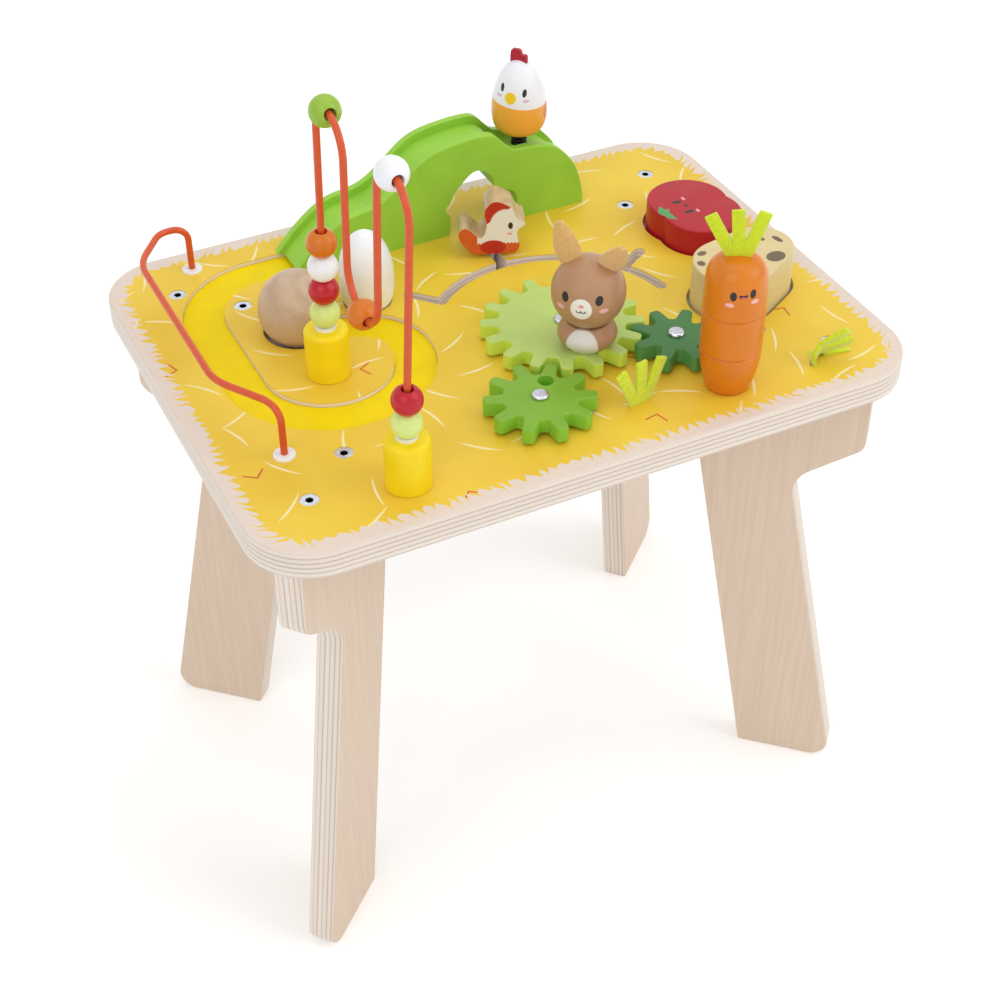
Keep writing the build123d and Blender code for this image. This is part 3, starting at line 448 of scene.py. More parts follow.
def boardPrint():
    mat, shader = startMaterial("lacquered_printed_birch", Coat_Weight=0.08, Coat_Roughness=0.25,
                                Roughness=0.45, Specular_IOR_Level=0.35)
    low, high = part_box("table_top")
    space = localSpace(mat, (0, 0, high.z))
    axes = addNode(mat, "SeparateXYZ", [space]).node.outputs
    cloud = addNode(mat, "TexNoise", {"Vector": space, "Scale": 1 / printLook["cloud"], "Detail": 2.0})
    field = tones(mat, cloud, printLook["cloudSpan"], printLook["fieldDeep"], printLook["field"])
    for name, printed in (("dash", dashes), ("tick", ticks)):
        field = addNode(mat, "Mix", {0: printed(mat, space), 6: field, 7: printLook[name]}, data_type="RGBA")
    bare, fibre = plyFace(mat, space, 90)
    margin = addNode(mat, "Mix", {0: printLook["marginShare"], 6: bare, 7: printLook["margin"]},
                     data_type="RGBA")
    within = insideBorder(mat, space, axes, high - low)
    face = addNode(mat, "Mix", {0: within, 6: margin, 7: field}, data_type="RGBA")
    top = addNode(mat, "Math", [axes["Z"], -printLook["skin"]], "GREATER_THAN")
    colour = addNode(mat, "Mix", {0: top, 6: plyEdge(mat, axes["Z"], fibre), 7: face}, data_type="RGBA")
    connect(colour, shader, "Base Color")
    grainBump(mat, shader, fibre, *printLook["bump"])
    return mat


smoothed("table_top", boardPrint())

# Legs: upright panels on the board's diagonals, sawn layers on their edges
legLook = {"turn": 42.5, "inset": 44.0, "halfThickness": 8.5, "skin": (0.9, 0.6), "lean": 11.0,
           "bump": (0.12, 0.3)}


def legPly(node):
    centre = middle(node)
    side, end = (1 if centre.x > 0 else -1), (1 if centre.y > 0 else -1)
    mat, shader = startMaterial("birch_ply_" + node, Roughness=0.5, Coat_Weight=0.08, Coat_Roughness=0.4)
    space = localSpace(mat, (side * legLook["inset"] * mm, 0, 0), (0, 0, side * end * legLook["turn"]))
    face, fibre = plyFace(mat, space, -side * legLook["lean"])
    across = addNode(mat, "SeparateXYZ", [space]).node.outputs["Y"]
    depth = addNode(mat, "Math", [across], "ABSOLUTE")
    sawn = [legLook["halfThickness"] - skin for skin in legLook["skin"]]
    connect(tones(mat, depth, sawn, plyEdge(mat, across, fibre), face), shader, "Base Color")
    grainBump(mat, shader, fibre, *legLook["bump"])
    return mat


for node in ("leg_front_left", "leg_front_right", "leg_back_left", "leg_back_right"):
    smoothed(node, legPly(node))
screwSteel = zincSteel("zinc_plated_steel")
for node in ("leg_inserts", "fixing_screws", "hen_stem", "hen_washer", "hen_nut"):
    smoothed(node, screwSteel)

# Leg bolts: bright blue-grey heads, their sockets painted nearly black as painted shade in the recess
boltLook = {"code": "#d6dce8", "socket": "#2c3136", "skin": 0.7}


def shadedSocket(mat, plating):
    # painted shade: everything below the head's face turns nearly black
    deep = addNode(mat, "Math", [belowTop(mat, "leg_bolts"), -boltLook["skin"]], "LESS_THAN")
    return addNode(mat, "Mix", {0: deep, 6: plating, 7: boltLook["socket"]}, data_type="RGBA")


smoothed("leg_bolts", zincSteel("zinc_plated_bolt", boltLook["code"], dress=shadedSocket))
print("board and legs done")

# Track, hill, spring and wheels
smoothed("track_inlay", satinPaint("yellow_satin_lacquer", "#f4d704", 0.5, 0.12))
smoothed("green_hill", satinPaint("grass_green_lacquer", "#9ad043", 0.42))
smoothed("hen_spring", zincSteel("black_spring_steel", "#3a3a3c", 0.4))  # blackened, dull
wheelLook = {  # face and sawn rim in two tones as light falls on them: the face paler with painted sheen, the rim a fuller green
    "big_wheel": ("lime_lacquer", "#bdd574", "#d2ec5e"),
    "mid_wheel": ("leaf_green_lacquer", "#80b034", "#8bc83e"),
    "small_wheel": ("forest_green_lacquer", "#447a40", "#5a9a54"), "faceSkin": 1.2,
}


def wheelPaint(node):
    name, code, rim = wheelLook[node]

    # painted sheen: the face keeps a paler tone than the sawn rim below it
    def rimUnderPaintedSheen(mat, colour):
        return tones(mat, belowTop(mat, node), (-wheelLook["faceSkin"], 0.0), rim, colour)

    return satinPaint(name, code, 0.4, dress=rimUnderPaintedSheen)


for node in ("big_wheel", "mid_wheel", "small_wheel"):
    smoothed(node, wheelPaint(node))
smoothed("wheel_axles", zincSteel("polished_nickel", "#cdd0d8", 0.22))  # bright caps
smoothed("wheel_washers", mouldedNylon("white_nylon", "#eeeeec"))
print("wheels and hill done")

# Tomato and potato: marks painted on the blocks' tops, z runs to the front there
ink, blush = "#2b2222", "#f0a9b4"
tomatoLook = {
    "code": "#b61a28", "leaf": "#55a060", "leafMiddle": (130.8, -33.6), "leafWidth": 3.1, "paintDepth": 0.4,
    "leafTips": ((125.4, -36.7), (133.2, -42.0), (136.6, -37.0), (135.2, -24.5), (126.2, -28.6)),
    "leafShare": 0.7,  # a leaflet's half length against the way from the middle to its tip
    "marks": (((145.3, -42.1), (3.4, 0.4, 1.6), ink), ((146.6, -29.0), (3.4, 0.4, 1.6), ink),
              ((148.3, -36.2), (0.9, 0.4, 1.8), ink),
              ((151.0, -44.2), (1.0, 0.4, 1.9), blush), ((152.0, -27.9), (1.0, 0.4, 1.9), blush)),
}
potatoLook = {
    "code": "#e0cd98", "spot": "#74604e",
    "spots": (((158.9, 31.0), (3.1, 0.4, 1.9), -61), ((167.9, 35.9), (4.2, 0.4, 1.9), -77),
              ((156.7, 51.7), (6.4, 0.4, 5.0), 16), ((119.4, 29.8), (3.1, 0.4, 2.2), 13),
              ((113.5, 39.0), (2.4, 0.4, 2.8), 0)),
}


def topSpace(mat, node):
    return localSpace(mat, (0, 0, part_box(node)[1].z), (90, 0, 0))


def tomatoFace(mat, colour):
    space = topSpace(mat, "tomato")
    colour = paintMarks(mat, colour, space, 0, tomatoLook["marks"])
    stalk, share = Vector(tomatoLook["leafMiddle"]), tomatoLook["leafShare"]
    for tip in tomatoLook["leafTips"]:
        reach = Vector(tip) - stalk
        x, z = stalk + reach * share / 2
        size = (reach.length * share, tomatoLook["paintDepth"], tomatoLook["leafWidth"])
        colour = paintOval(mat, colour, space, (x, 0, z), size, tomatoLook["leaf"],
                           degrees(atan2(-reach.y, reach.x)), True)
    return colour


def potatoSpots(mat, colour):
    spots = [(place, size, potatoLook["spot"], lean) for place, size, lean in potatoLook["spots"]]
    return paintMarks(mat, colour, topSpace(mat, "potato"), 0, spots)


smoothed("tomato", satinPaint("tomato_red_lacquer", tomatoLook["code"], 0.36, dress=tomatoFace))
smoothed("potato", satinPaint("potato_cream_lacquer", potatoLook["code"], 0.45, dress=potatoSpots))

# Ball, egg and posts
ballRadius = heightOf("ball") / 2
beech = beechWood("turned", middle("ball"))
lathe("ball", arc((0, 0), (ballRadius, ballRadius), -90, 90, 40), middle("ball"), beech)
smoothed("rabbit_peg", beech)
smoothed("carrot_peg", beech)


def eggProfile(radius, height, waist, foot, fullness, count=18):  # fullness squares the part below the waist
    shares = [step / count for step in range(count + 1)]
    below = [(foot + (radius - foot) * (1 - (1 - share) ** fullness) ** (1 / fullness), waist * share)
             for share in shares]
    above = arc((0, waist), (radius, height - waist), 0, 90, 2 * count)
    return [(0, 0), *below, *above[1:-1], (0, height)]


eggLook = {"radius": 16.5, "height": 51.0, "waist": 22.0, "foot": 6.0, "fullness": 2.9}
lathe("egg", eggProfile(**eggLook), onFloor("egg"), satinPaint("egg_white_lacquer", "#f7f9ff", 0.3))
postLook = {"code": "#fbdc16", "radius": 12.6, "height": 30.5, "round": 3.0, "chamfer": 0.5}


def postProfile():
    radius, height, rounding, chamfer = (postLook[key] for key in ("radius", "height", "round", "chamfer"))
    shoulder = arc((radius - rounding, height - rounding), (rounding, rounding), 0, 90, 8)
    return [(0, 0), (radius - chamfer, 0), (radius, chamfer), *shoulder, (0, height)]


yellowPost = satinPaint("post_yellow_lacquer", postLook["code"], 0.38)
for node in ("post_back", "post_front"):
    lathe(node, postProfile(), onFloor(node), yellowPost)
nylon = mouldedNylon("white_nylon_trim", "#f4f4f2")
smoothed("post_collars", nylon)
smoothed("rail_grommets", nylon)

# Bead maze and guard rail: each wire is a rod that is pushed along straight runs and spun round each bend
coat = powderCoat("orange_powder_coat")
wireRadius = 2.0 * mm
mazeRoute = {"height": 182.0, "archOne": ((0.0919, 0.9615), (0.4154, 0.9615)),
             "dip": ((0.3548, 0.405), (0.714, 0.405)), "archTwo": ((0.8072, 1.0), (1.155, 1.0)), "bite": 14.0}
railRoute = {"height": 29.5, "depth": 12.0, "bends": (8.0, 12.0, 34.0, 34.0, 12.0, 8.0),
             "places": ((-0.3595, 0.4287), (-0.4, 0.4367), (-0.4525, 0.3433), (-0.4525, -0.0833),
                        (-0.40625, -0.18), (-0.397, -0.2227))}


def bentWire(node, route, radii):
    bm = bmesh.new()
    heading = (route[1] - route[0]).normalized()
    bmesh.ops.create_circle(bm, cap_ends=False, segments=meshLook["wireSides"], radius=wireRadius,
                            matrix=aimed(route[0], heading))
    ring = bm.edges[:]
    bmesh.ops.edgeloop_fill(bm, edges=ring)
    here = route[0]
    for corner, after, bend in zip(route[1:-1], route[2:], radii):
        leave = (after - corner).normalized()
        swing = heading.angle(leave)
        start = corner - heading * bend * tan(swing / 2)
        ring = pushRing(bm, ring, start - here)
        axis = heading.cross(leave).normalized()
        centre = start + axis.cross(heading) * bend
        spun = bmesh.ops.spin(bm, geom=ring, cent=centre, axis=axis, angle=swing,
                              steps=max(4, round(swing / radians(meshLook["bendStep"]))))
        ring = [item for item in spun["geom_last"] if isinstance(item, bmesh.types.BMEdge)]
        here = corner + leave * bend * tan(swing / 2)
        heading = leave
    ring = pushRing(bm, ring, route[-1] - here)
    bmesh.ops.edgeloop_fill(bm, edges=ring)
    finishMesh(node, "_bent", bm, coat)


def mazeWire():
    back, front = middle("post_back"), middle("post_front")
    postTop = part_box("post_back")[1].z
    bends = [Vector((back.x, back.y - (back.y - front.y) * along, deck + mazeRoute["height"] * mm * up))
             for name in ("archOne", "dip", "archTwo") for along, up in mazeRoute[name]]
    feet = [Vector((post.x, post.y, postTop)) for post in (back, front)]
    start, end = (foot + (foot - bend).normalized() * mazeRoute["bite"] * mm
                  for foot, bend in zip(feet, (bends[0], bends[-1])))
    route = [start, *bends, end]
    radii = []
    for index in (1, 3, 5):  # both corners of an arch share one radius
        first, second = route[index], route[index + 1]
        lead = (first - route[index - 1]).angle(second - first)
        tail = (second - first).angle(route[index + 2] - second)
        radii += [(second - first).length / (tan(lead / 2) + tan(tail / 2))] * 2
    bentWire("maze_wire", route, radii)


def railWire():
    low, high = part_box("table_top")
    size = high - low
    level = deck + railRoute["height"] * mm
    places = [Vector((size.x * x, size.y * y, level)) for x, y in railRoute["places"]]
    buried = deck - railRoute["depth"] * mm
    route = [Vector((*places[0].xy, buried)), *places, Vector((*places[-1].xy, buried))]
    bentWire("rail_wire", route, [bend * mm for bend in railRoute["bends"]])


mazeWire()
railWire()
beadLook = {"radius": 8.5, "bore": 3.1, "mouthRound": 0.5, "roughness": 0.28,
            "colours": {"lime": "#dcee8c", "red": "#bf1a28", "white": "#f5f7fc", "orange": "#d8741c",
                        "green": "#98bf3c"}}
beadPaints = {name: satinPaint("bead_" + name + "_lacquer", code, beadLook["roughness"])
              for name, code in beadLook["colours"].items()}


def beadProfile():
    radius, bore, mouth = (beadLook[key] for key in ("radius", "bore", "mouthRound"))
    tip = degrees(acos((bore + mouth) / radius))
    reach = sqrt(radius ** 2 - (bore + mouth) ** 2)
    return [(bore, -reach + mouth), *arc((0, 0), (radius, radius), -tip, tip, 28), (bore, reach - mouth)]


def beadHeading(node):
    joint = joints[node]
    axis = Vector(joint["axis"])
    if joint["type"] == "hinge" and "range_deg" in joint:  # a bead on a bend lies along the bend
        return axis.cross(middle(node) - Vector(joint["pos_m"])).normalized()
    return axis


for node in sorted(nodes):
    if "_bead_" in node:
        lathe(node, beadProfile(), middle(node), beadPaints[node.split("_")[-1]], beadHeading(node))
print("maze and beads done")

# Carrot: three turned rounds, the face printed on the top one, a little askew
carrotOrange = "#df7f1a"
carrotLook = {
    "foot": 12.4, "footRound": (1.0, 0.8), "low": 17.2, "mid": 17.4, "top": 17.0, "groove": 0.9,
    "shoulder": 0.5, "fullness": 2.6, "faceTurn": -19.5,
    "marks": (((-5.3, 68.6), (1.75, 9, 2.8), ink), ((5.3, 69.6), (1.75, 9, 2.8), ink),
              ((-6.8, 63.1), (2.3, 9, 1.3), "#f7b9b4"), ((6.8, 64.5), (2.3, 9, 1.3), "#f7b9b4"),
              ((0, 68.8), (2.3, 9, 1.6), ink), ((0, 67.8), (1.4, 9, 0.8), "#d8596a"),
              ((0, 70.6), (2.8, 9, 1.2), carrotOrange)),  # cuts the mouth off straight
}
carrotAxis = onFloor("carrot_tip")


def carrotFace(mat, colour):
    space = localSpace(mat, (carrotAxis.x, carrotAxis.y, deck), (0, 0, carrotLook["faceTurn"]))
    return paintMarks(mat, colour, space, -carrotLook["top"], carrotLook["marks"])


def carrotProfiles(taperSteps=12, domeSteps=22):
    foot, low, mid, top, groove = (carrotLook[key] for key in ("foot", "low", "mid", "top", "groove"))
    inward, upward = carrotLook["footRound"]
    tall = heightOf("carrot_tip")
    taper = [(foot + (low - foot) * sin(pi / 2 * step / taperSteps), tall * step / taperSteps)
             for step in range(1, taperSteps)]
    yield "carrot_tip", [(0, 0), (foot - inward, 0), (foot, upward), *taper, (low, tall - groove),
                         (low - groove, tall), (0, tall)]
    tall = heightOf("carrot_middle")
    yield "carrot_middle", [(0, 0), (low - groove, 0), (low, groove), (mid, tall - groove),
                            (mid - groove, tall), (0, tall)]
    tall = heightOf("carrot_top")
    shoulder, power = tall * carrotLook["shoulder"], carrotLook["fullness"]
    shares = [step / domeSteps for step in range(1, domeSteps)]
    dome = [(top * (1 - share ** power) ** (1 / power), shoulder + (tall - shoulder) * share)
            for share in shares]
    yield "carrot_top", [(0, 0), (mid - groove, 0), (mid, groove), (top, shoulder), *dome, (0, tall)]


for node, profile in carrotProfiles():
    face = carrotFace if node == "carrot_top" else None
    lathe(node, profile, onFloor(node), satinPaint("carrot_lacquer_" + node, carrotOrange, 0.3, dress=face))

# Rabbit: turned body and head
rabbitLook = {
    "code": "#b88e6a", "turn": -40.0, "foot": 11.2, "belly": 16.4, "shoulder": 12.5, "shoulderShare": 0.9,
    "headRadius": 21.0, "tummy": (((0, 6.4), (9.3, 14, 11.2), "#ebe7e3"),),
    "marks": (((0, 0.4), (6.0, 12, 6.4), "#f5f1ec"),
              ((-9.5, 5.8), (2.1, 12, 2.9), ink), ((9.5, 5.8), (2.1, 12, 2.9), ink),
              ((-12.1, -0.7), (2.4, 14, 1.5), "#f3b3bd"), ((12.1, -0.7), (2.4, 14, 1.5), "#f3b3bd"),
              ((0, 2.6), (1.5, 12, 1.0), "#ee9aa8")),
    "mouth": ((-1.3, -0.2), (1.3, -0.2)), "mouthSize": (1.3, 12, 1.3), "mouthWidth": 0.32,
}
rabbitFoot = onFloor("rabbit_body")
headLow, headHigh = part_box("rabbit_head")
headCentre = Vector((rabbitFoot.x, rabbitFoot.y, headHigh.z - rabbitLook["headRadius"] * mm))


def rabbitFace(mat, colour):
    space = localSpace(mat, headCentre, (0, 0, rabbitLook["turn"]))
    front = -rabbitLook["headRadius"]
    colour = paintMarks(mat, colour, space, front, rabbitLook["marks"])
    for x, z in rabbitLook["mouth"]:
        colour = paintArc(mat, colour, space, (x, front, z), rabbitLook["mouthSize"],
                          rabbitLook["mouthWidth"], ink)
    return colour


def rabbitTummy(mat, colour):
    space = localSpace(mat, rabbitFoot, (0, 0, rabbitLook["turn"]))
    return paintMarks(mat, colour, space, -rabbitLook["belly"], rabbitLook["tummy"])


def bodyProfile(count=20):
    foot, belly, shoulder, part = (rabbitLook[key] for key in ("foot", "belly", "shoulder", "shoulderShare"))
    tall = heightOf("rabbit_body")
    shares = [step / count for step in range(count + 1)]
    bulge = [(foot + (belly - foot) * sin(pi * share) + (shoulder - foot) * share * part, tall * share)
             for share in shares]
    return [(0, 0), *bulge, (0, tall)]


def headProfile():
    radius = rabbitLook["headRadius"]
    chin = (headLow.z - headCentre.z) / mm
    return [(0, chin), *arc((0, 0), (radius, radius), -90 + degrees(acos(-chin / radius)), 90, 44)]


for part, profile, place, dress in (("body", bodyProfile(), rabbitFoot, rabbitTummy),
                                    ("head", headProfile(), headCentre, rabbitFace)):
    paint = satinPaint("rabbit_brown_lacquer_" + part, rabbitLook["code"], 0.36, dress=dress)
    lathe("rabbit_" + part, profile, place, paint)

# Rocking hen: an egg shape, white over orange, its face a little askew
rockerShape = {"radius": 17.2, "height": 47.5, "waist": 14.3, "foot": 7.0, "fullness": 2.4}
rockerLook = {
    "turn": -47.0, "white": "#f3f5fb", "orange": "#f6ad40", "breast": (22.6, 22.9), "breastSlope": 0.1,
    "wingPlace": (2, 16.0), "wingSize": (6, 5.0, 5.4), "wing": "#d97a34",
    "marks": (((-6.1, 34.1), (1.45, 9, 2.9), ink), ((8.1, 32.1), (1.45, 9, 2.9), ink),
              ((-8.0, 28.9), (2.1, 9, 1.1), "#e5c0dc"), ((9.4, 27.3), (2.1, 9, 1.1), "#e5c0dc"),
              ((0, 28.7), (3.75, 9, 3.6), "#f6cf16")),
}
rockerFoot = onFloor("rocker_hen")


def rockerFace(mat, colour):
    space = localSpace(mat, rockerFoot, (0, 0, rockerLook["turn"]))
    axes = addNode(mat, "SeparateXYZ", [space]).node.outputs
    tilt = addNode(mat, "Math", [axes["X"], rockerLook["breastSlope"], axes["Z"]], "MULTIPLY_ADD")
    colour = tones(mat, tilt, rockerLook["breast"], rockerLook["orange"], colour)
    radius = rockerShape["radius"]
    for side in (-radius, radius):
        colour = paintOval(mat, colour, space, (side, *rockerLook["wingPlace"]), rockerLook["wingSize"],
                           rockerLook["wing"])
    return paintMarks(mat, colour, space, -radius, rockerLook["marks"])


rockerPaint = satinPaint("hen_white_lacquer", rockerLook["white"], 0.3, dress=rockerFace)
lathe("rocker_hen", eggProfile(**rockerShape), rockerFoot, rockerPaint)

# Sliding hen: sawn beech, its two broad faces painted
henWhite, henRed = "#f0eeec", "#c02419"
henLook = {
    "turn": -22.3, "orange": "#d65c24", "faceFrom": 9.6, "hem": 10.2, "hemWave": 1.1, "tail": -8.8,
    "combSlope": -0.75, "combFrom": 26.5, "combBack": -8.0,
    "marks": (((8.6, 23.2), (9.8, 40, 11.4), henWhite), ((0.8, 8.1), (8.2, 40, 5.0), henRed),
              ((11.5, 22.8), (1.5, 40, 2.4), ink), ((11.0, 17.2), (1.8, 40, 0.9), blush)),
}
henFoot = Vector((*middle("hen_stem").xy, deck))


def henFaces(mat, wood):
    space = localSpace(mat, henFoot, (0, 0, henLook["turn"]))
    axes = addNode(mat, "SeparateXYZ", [space]).node.outputs
    wave = addNode(mat, "Math", [axes["X"], henLook["hemWave"]], "PINGPONG")
    hem = addNode(mat, "Math", [wave, -1.0, axes["Z"]], "MULTIPLY_ADD")
    belly = addNode(mat, "Math", [hem, henLook["hem"]], "LESS_THAN")
    tail = addNode(mat, "Math", [axes["X"], henLook["tail"]], "LESS_THAN")
    crest = addNode(mat, "Math", [axes["X"], henLook["combSlope"], axes["Z"]], "MULTIPLY_ADD")
    high = addNode(mat, "Math", [crest, henLook["combFrom"]], "GREATER_THAN")
    ahead = addNode(mat, "Math", [axes["X"], henLook["combBack"]], "GREATER_THAN")
    comb = addNode(mat, "Math", [high, ahead], "MULTIPLY")
    colour = henWhite
    for cover, code in ((belly, henLook["orange"]), (tail, henLook["orange"]), (comb, henRed)):
        colour = addNode(mat, "Mix", {0: cover, 6: colour, 7: code}, data_type="RGBA")
    colour = paintMarks(mat, colour, space, 0, henLook["marks"])
    depth = addNode(mat, "Math", [axes["Y"]], "ABSOLUTE")
    broad = addNode(mat, "Math", [depth, henLook["faceFrom"]], "GREATER_THAN")
    return addNode(mat, "Mix", {0: broad, 6: wood, 7: colour}, data_type="RGBA")


smoothed("sliding_hen", beechWood("sawn", henFoot, henFaces))
print("figures done")

# Felt: leaves in three fingers, ears and a comb
limeFelt = woolFelt("lime_wool_felt", "#d6ea24")
tanFelt = woolFelt("tan_wool_felt", "#e9bd79")
redFelt = woolFelt("red_wool_felt", "#b81c34")


def finishFelt(node, bm, place, turned, look, material, lean=0.0):  # turned and lean in degrees
    area = sum(face.calc_area() for face in bm.faces)
    stand = Matrix.Rotation(radians(turned), 4, "Z") @ Matrix.Rotation(radians(lean), 4, "Y")
    bmesh.ops.transform(bm, matrix=Matrix.Translation(place) @ stand, verts=bm.verts)
    piece = finishMesh(node, "_felt", bm, material, feltLook["sharpAngle"])
    wall = piece.modifiers.new("felt thickness", "SOLIDIFY")
    wall.thickness = look["thickness"] * mm
    wall.offset = 0
    soft = piece.modifiers.new("soft edge", "BEVEL")
    soft.width = feltLook["softEdge"] * mm
    soft.segments = 2
    soft.limit_method = "ANGLE"


leafLook = {"base": 14.8, "tabWidth": 12.0, "tab": 3.0, "finger": 7.0, "length": 27.0, "fan": 24.0,
            "thickness": 2.2, "flat": (0.034, 0.034), "steps": 6, "bendRun": 9.0}


def layOver(bm, fall, twist):  # the felt twists and lies over from a bend just above the board, in degrees
    bendAngle, bendRun = radians(fall), leafLook["bendRun"] * mm
    for vert in bm.verts:
        if vert.co.z > 0:
            share = min(vert.co.z / bendRun, 1.0)
            wrung, curved = radians(twist) * share, bendAngle * share
            vert.co.xy = vert.co.x * cos(wrung), vert.co.y + vert.co.x * sin(wrung)
            past = max(vert.co.z - bendRun, 0.0)
            radius = bendRun / bendAngle + vert.co.y
            vert.co.y = vert.co.y - radius * (1 - cos(curved)) - past * sin(curved)
            vert.co.z = radius * sin(curved) + past * cos(curved)


def feltLeaf(node, place, turned, curls, lean=0.0, fall=0.0, twist=0.0):
    bm = bmesh.new()  # stands in its own upright plane: X across, Y through the felt, Z up
    half, fan, steps = leafLook["finger"] / 2, radians(leafLook["fan"]), leafLook["steps"]
    notch = half / sin(fan)  # the height where two fingers part
    outer, drop = half + 2 * half * cos(fan), notch - 2 * half * sin(fan)
    rows = [[((index - 1.5) * leafLook["tabWidth"] / 3, -leafLook["tab"]) for index in range(4)],
            [((index - 1.5) * leafLook["base"] / 3, 0) for index in range(4)],
            [(-outer, drop), (-half, notch), (half, notch), (outer, drop)]]
    row = [bm.verts.new((x * mm, 0, z * mm)) for x, z in rows[0]]
    edges = [bm.edges.new(pair) for pair in zip(row, row[1:])]
    for points in rows[1:]:
        edges = pushRing(bm, edges, Vector((0, 0, mm)))
        row = sorted({vert for edge in edges for vert in edge.verts}, key=lambda vert: vert.co.x)
        for vert, (x, z) in zip(row, points):
            vert.co = Vector((x, 0, z)) * mm
    edges.sort(key=lambda edge: (edge.verts[0].co + edge.verts[1].co).x)
    for edge, side, curl in zip(edges, (-1, 0, 1), curls):
        reach = leafLook["length"] - notch * (1 - abs(side) * (1 - cos(fan)))
        for step in range(1, steps + 1):
            bend = curl * (2 * step - 1) / steps ** 2
            travel = Vector((sin(side * fan), bend, cos(side * fan))) * reach * mm / steps
            edge = pushRing(bm, [edge], travel)[0]
    if fall:
        layOver(bm, fall, twist)
    finishFelt(node, bm, place, turned, leafLook, limeFelt, lean)


crown = Vector((carrotAxis.x, carrotAxis.y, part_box("carrot_top")[1].z))
feltLeaf("carrot_leaf", crown, -30.0, (0.06, -0.05, 0.1), -5.0)
tuftPlaces = {"felt_tuft_front": (12.0, (0.2, 0.1, -0.1)),
              "felt_tuft_side": (72.0, (-0.1, 0.15, 0.1), 0.0, 75.0, -62.0)}
for node, stance in tuftPlaces.items():
    feltLeaf(node, Vector((*middle(node).xy, deck)), *stance)

earLook = {"length": 29.0, "width": 14.0, "thickness": 2.6, "flat": (0.0145, 0.0295), "cup": 2.4,
           "cupFade": 0.6, "spread": 9.5, "sink": 5.0,
           "base": 0.14, "run": 0.83, "low": 0.9, "full": 0.75,  # these four shape the oval
           "left": (-16.0, 0.0), "right": (22.0, 28.0)}  # lean and nod


def feltEar(side):
    bm = bmesh.new()
    bmesh.ops.create_grid(bm, x_segments=10, y_segments=18, size=0.5)
    for vert in bm.verts:  # a pointed oval, cupped along its length
        along = vert.co.y + 0.5
        swell = sin(pi * (earLook["base"] + earLook["run"] * along) ** earLook["low"]) ** earLook["full"]
        cup = earLook["cup"] * (vert.co.x * 2) ** 2 * (1 - earLook["cupFade"] * along)
        vert.co = Vector((vert.co.x * earLook["width"] * swell, cup, along * earLook["length"])) * mm
    lean, nod = earLook[side]
    seat = sqrt(rabbitLook["headRadius"] ** 2 - earLook["spread"] ** 2) - earLook["sink"]
    leant = Matrix.Rotation(radians(nod), 4, "X") @ Matrix.Rotation(radians(lean), 4, "Y")
    spread = -earLook["spread"] if side == "left" else earLook["spread"]
    bmesh.ops.transform(bm, matrix=leant, verts=bm.verts)
    bmesh.ops.translate(bm, vec=Vector((spread, 0, seat)) * mm, verts=bm.verts)
    finishFelt("rabbit_ear_" + side, bm, headCentre, rabbitLook["turn"], earLook, tanFelt)


feltEar("left")
feltEar("right")
combLook = {"width": 10.6, "height": 11.3, "thickness": 2.8, "sink": 4.0, "shoulder": 0.5, "split": 0.17,
            "squareness": 4, "flat": (0.0112, 0.0118),
            "lobes": ((-0.165, 0.335, 0.44), (0.335, 0.165, 0.16))}  # each lobe's middle, half width and rise


def feltComb():
    bm = bmesh.new()
    bmesh.ops.create_grid(bm, x_segments=24, y_segments=8, size=0.5)
    for vert in bm.verts:  # two round lobes on top, the wider and taller one at the left
        centre, half, rise = combLook["lobes"][vert.co.x > combLook["split"]]
        dome = max(1 - abs((vert.co.x - centre) / half) ** combLook["squareness"], 0.0)
        dome = dome ** (1 / combLook["squareness"])
        tall = combLook["height"] * (combLook["shoulder"] + rise * dome)
        up = (vert.co.y + 0.5) * tall - combLook["sink"]
        vert.co = Vector((vert.co.x * combLook["width"], 0, up)) * mm
    crest = Vector((rockerFoot.x, rockerFoot.y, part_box("rocker_hen")[1].z))
    finishFelt("rocker_comb", bm, crest, rockerLook["turn"], combLook, redFelt)


feltComb()
print("felt done")

# Studio: a white floor that keeps the shadow, soft light from above and from both sides
studio = {"floor": 6.0, "floorCode": "#ffffff", "floorGlow": 0.17, "glowStart": 0.7, "glowFull": 2.2,
          "worldLight": 0.58, "aim": (0, 0, 0.3),
          "lamps": {"left": (15.5, (-1.7, -1.3, 1.9), 1.8), "right": (20.0, (1.7, -1.4, 1.8), 1.8),
                    "top": (14.0, (0.2, 0.5, 2.6), 2.2)}}  # power, place and size


def seenRays(owner):  # rays that show the background itself, also in metal and clear plastic
    path = addNode(owner, "LightPath").node.outputs
    seen = addNode(owner, "Math", [path["Is Camera Ray"], path["Is Glossy Ray"]], "MAXIMUM")
    return addNode(owner, "Math", [seen, path["Is Transmission Ray"]], "MAXIMUM")


# Matt white paper: no gloss; far out, past the lamps' reach, it shows as white as the background.
def whitePaper():
    mat, shader = startMaterial("white_paper", Roughness=0.95, Specular_IOR_Level=0.0)
    for socket in ("Base Color", "Emission Color"):
        shader.inputs[socket].default_value = hexColour(studio["floorCode"])
    reach = addNode(mat, "VectorMath", [localSpace(mat, unit=1)], "LENGTH")
    far = addNode(mat, "MapRange", {"Value": reach, "From Min": studio["glowStart"],
                                    "From Max": studio["glowFull"], "To Min": studio["floorGlow"],
                                    "To Max": 1.0})
    glow = addNode(mat, "Math", [seenRays(mat), far], "MULTIPLY")
    connect(glow, shader, "Emission Strength")
    return mat


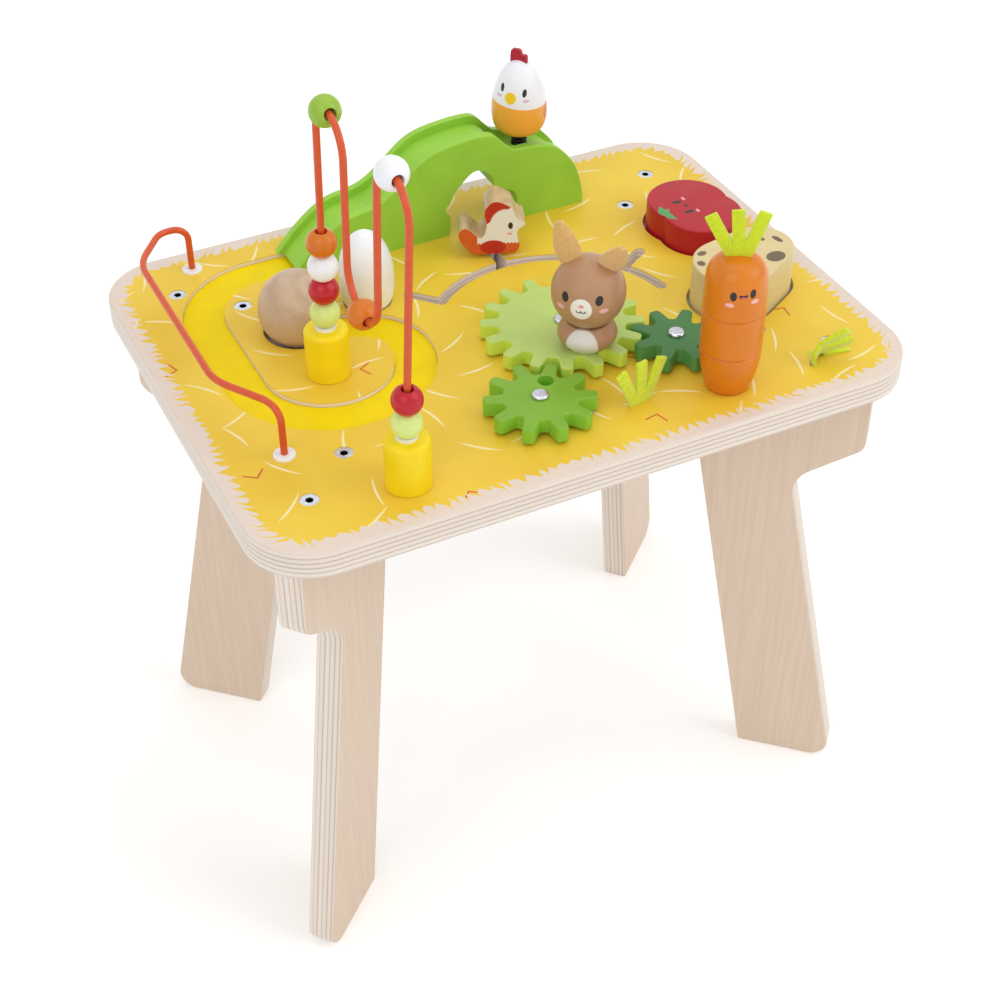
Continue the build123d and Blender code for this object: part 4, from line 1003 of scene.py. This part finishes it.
def makeStudio():
    bm = bmesh.new()
    bmesh.ops.create_grid(bm, x_segments=1, y_segments=1, size=studio["floor"])
    mesh = bpy.data.meshes.new("floor")
    bm.to_mesh(mesh)
    bm.free()
    mesh.materials.append(whitePaper())
    floor = bpy.data.objects.new("floor", mesh)
    bpy.context.scene.collection.objects.link(floor)
    world = bpy.data.worlds.new("studio")
    world.use_nodes = True
    world.node_tree.nodes.clear()
    strength = addNode(world, "MapRange", {"Value": seenRays(world), "To Min": studio["worldLight"],
                                           "To Max": 1.0})
    sky = addNode(world, "Background", {"Color": (1, 1, 1, 1), "Strength": strength})
    addNode(world, "OutputWorld", {"Surface": sky})
    bpy.context.scene.world = world
    for name, (power, place, size) in studio["lamps"].items():
        lamp = bpy.data.lights.new(name, "AREA")
        lamp.energy = power
        lamp.size = size
        light = bpy.data.objects.new(name, lamp)
        light.location = place
        light.rotation_euler = (Vector(studio["aim"]) - Vector(place)).to_track_quat("-Z", "Y").to_euler()
        bpy.context.scene.collection.objects.link(light)


makeStudio()
view = {"place": (-0.3882, -0.7985, 0.9348), "azimuth": -25.9906, "elevation": 39.8511, "roll": -0.2867,
        "lens": 65.48, "sensor": 36.0, "nearest": 0.05}


def makeCamera():
    azimuth, rise, roll = (radians(view[key]) for key in ("azimuth", "elevation", "roll"))
    back = Vector((sin(azimuth) * cos(rise), -cos(azimuth) * cos(rise), sin(rise)))
    right = (-back).cross(Vector((0, 0, 1))).normalized()
    up = right.cross(-back)
    across = cos(roll) * right + sin(roll) * up
    upright = -sin(roll) * right + cos(roll) * up
    lens = bpy.data.cameras.new("camera")
    lens.lens = view["lens"]
    lens.sensor_width = view["sensor"]
    lens.clip_start = view["nearest"]
    camera = bpy.data.objects.new("camera", lens)
    aim = Matrix((across, upright, back)).transposed().to_4x4()
    camera.matrix_world = Matrix.Translation(view["place"]) @ aim
    bpy.context.scene.collection.objects.link(camera)
    bpy.context.scene.camera = camera


makeCamera()
bpy.context.scene.view_settings.view_transform = "Standard"
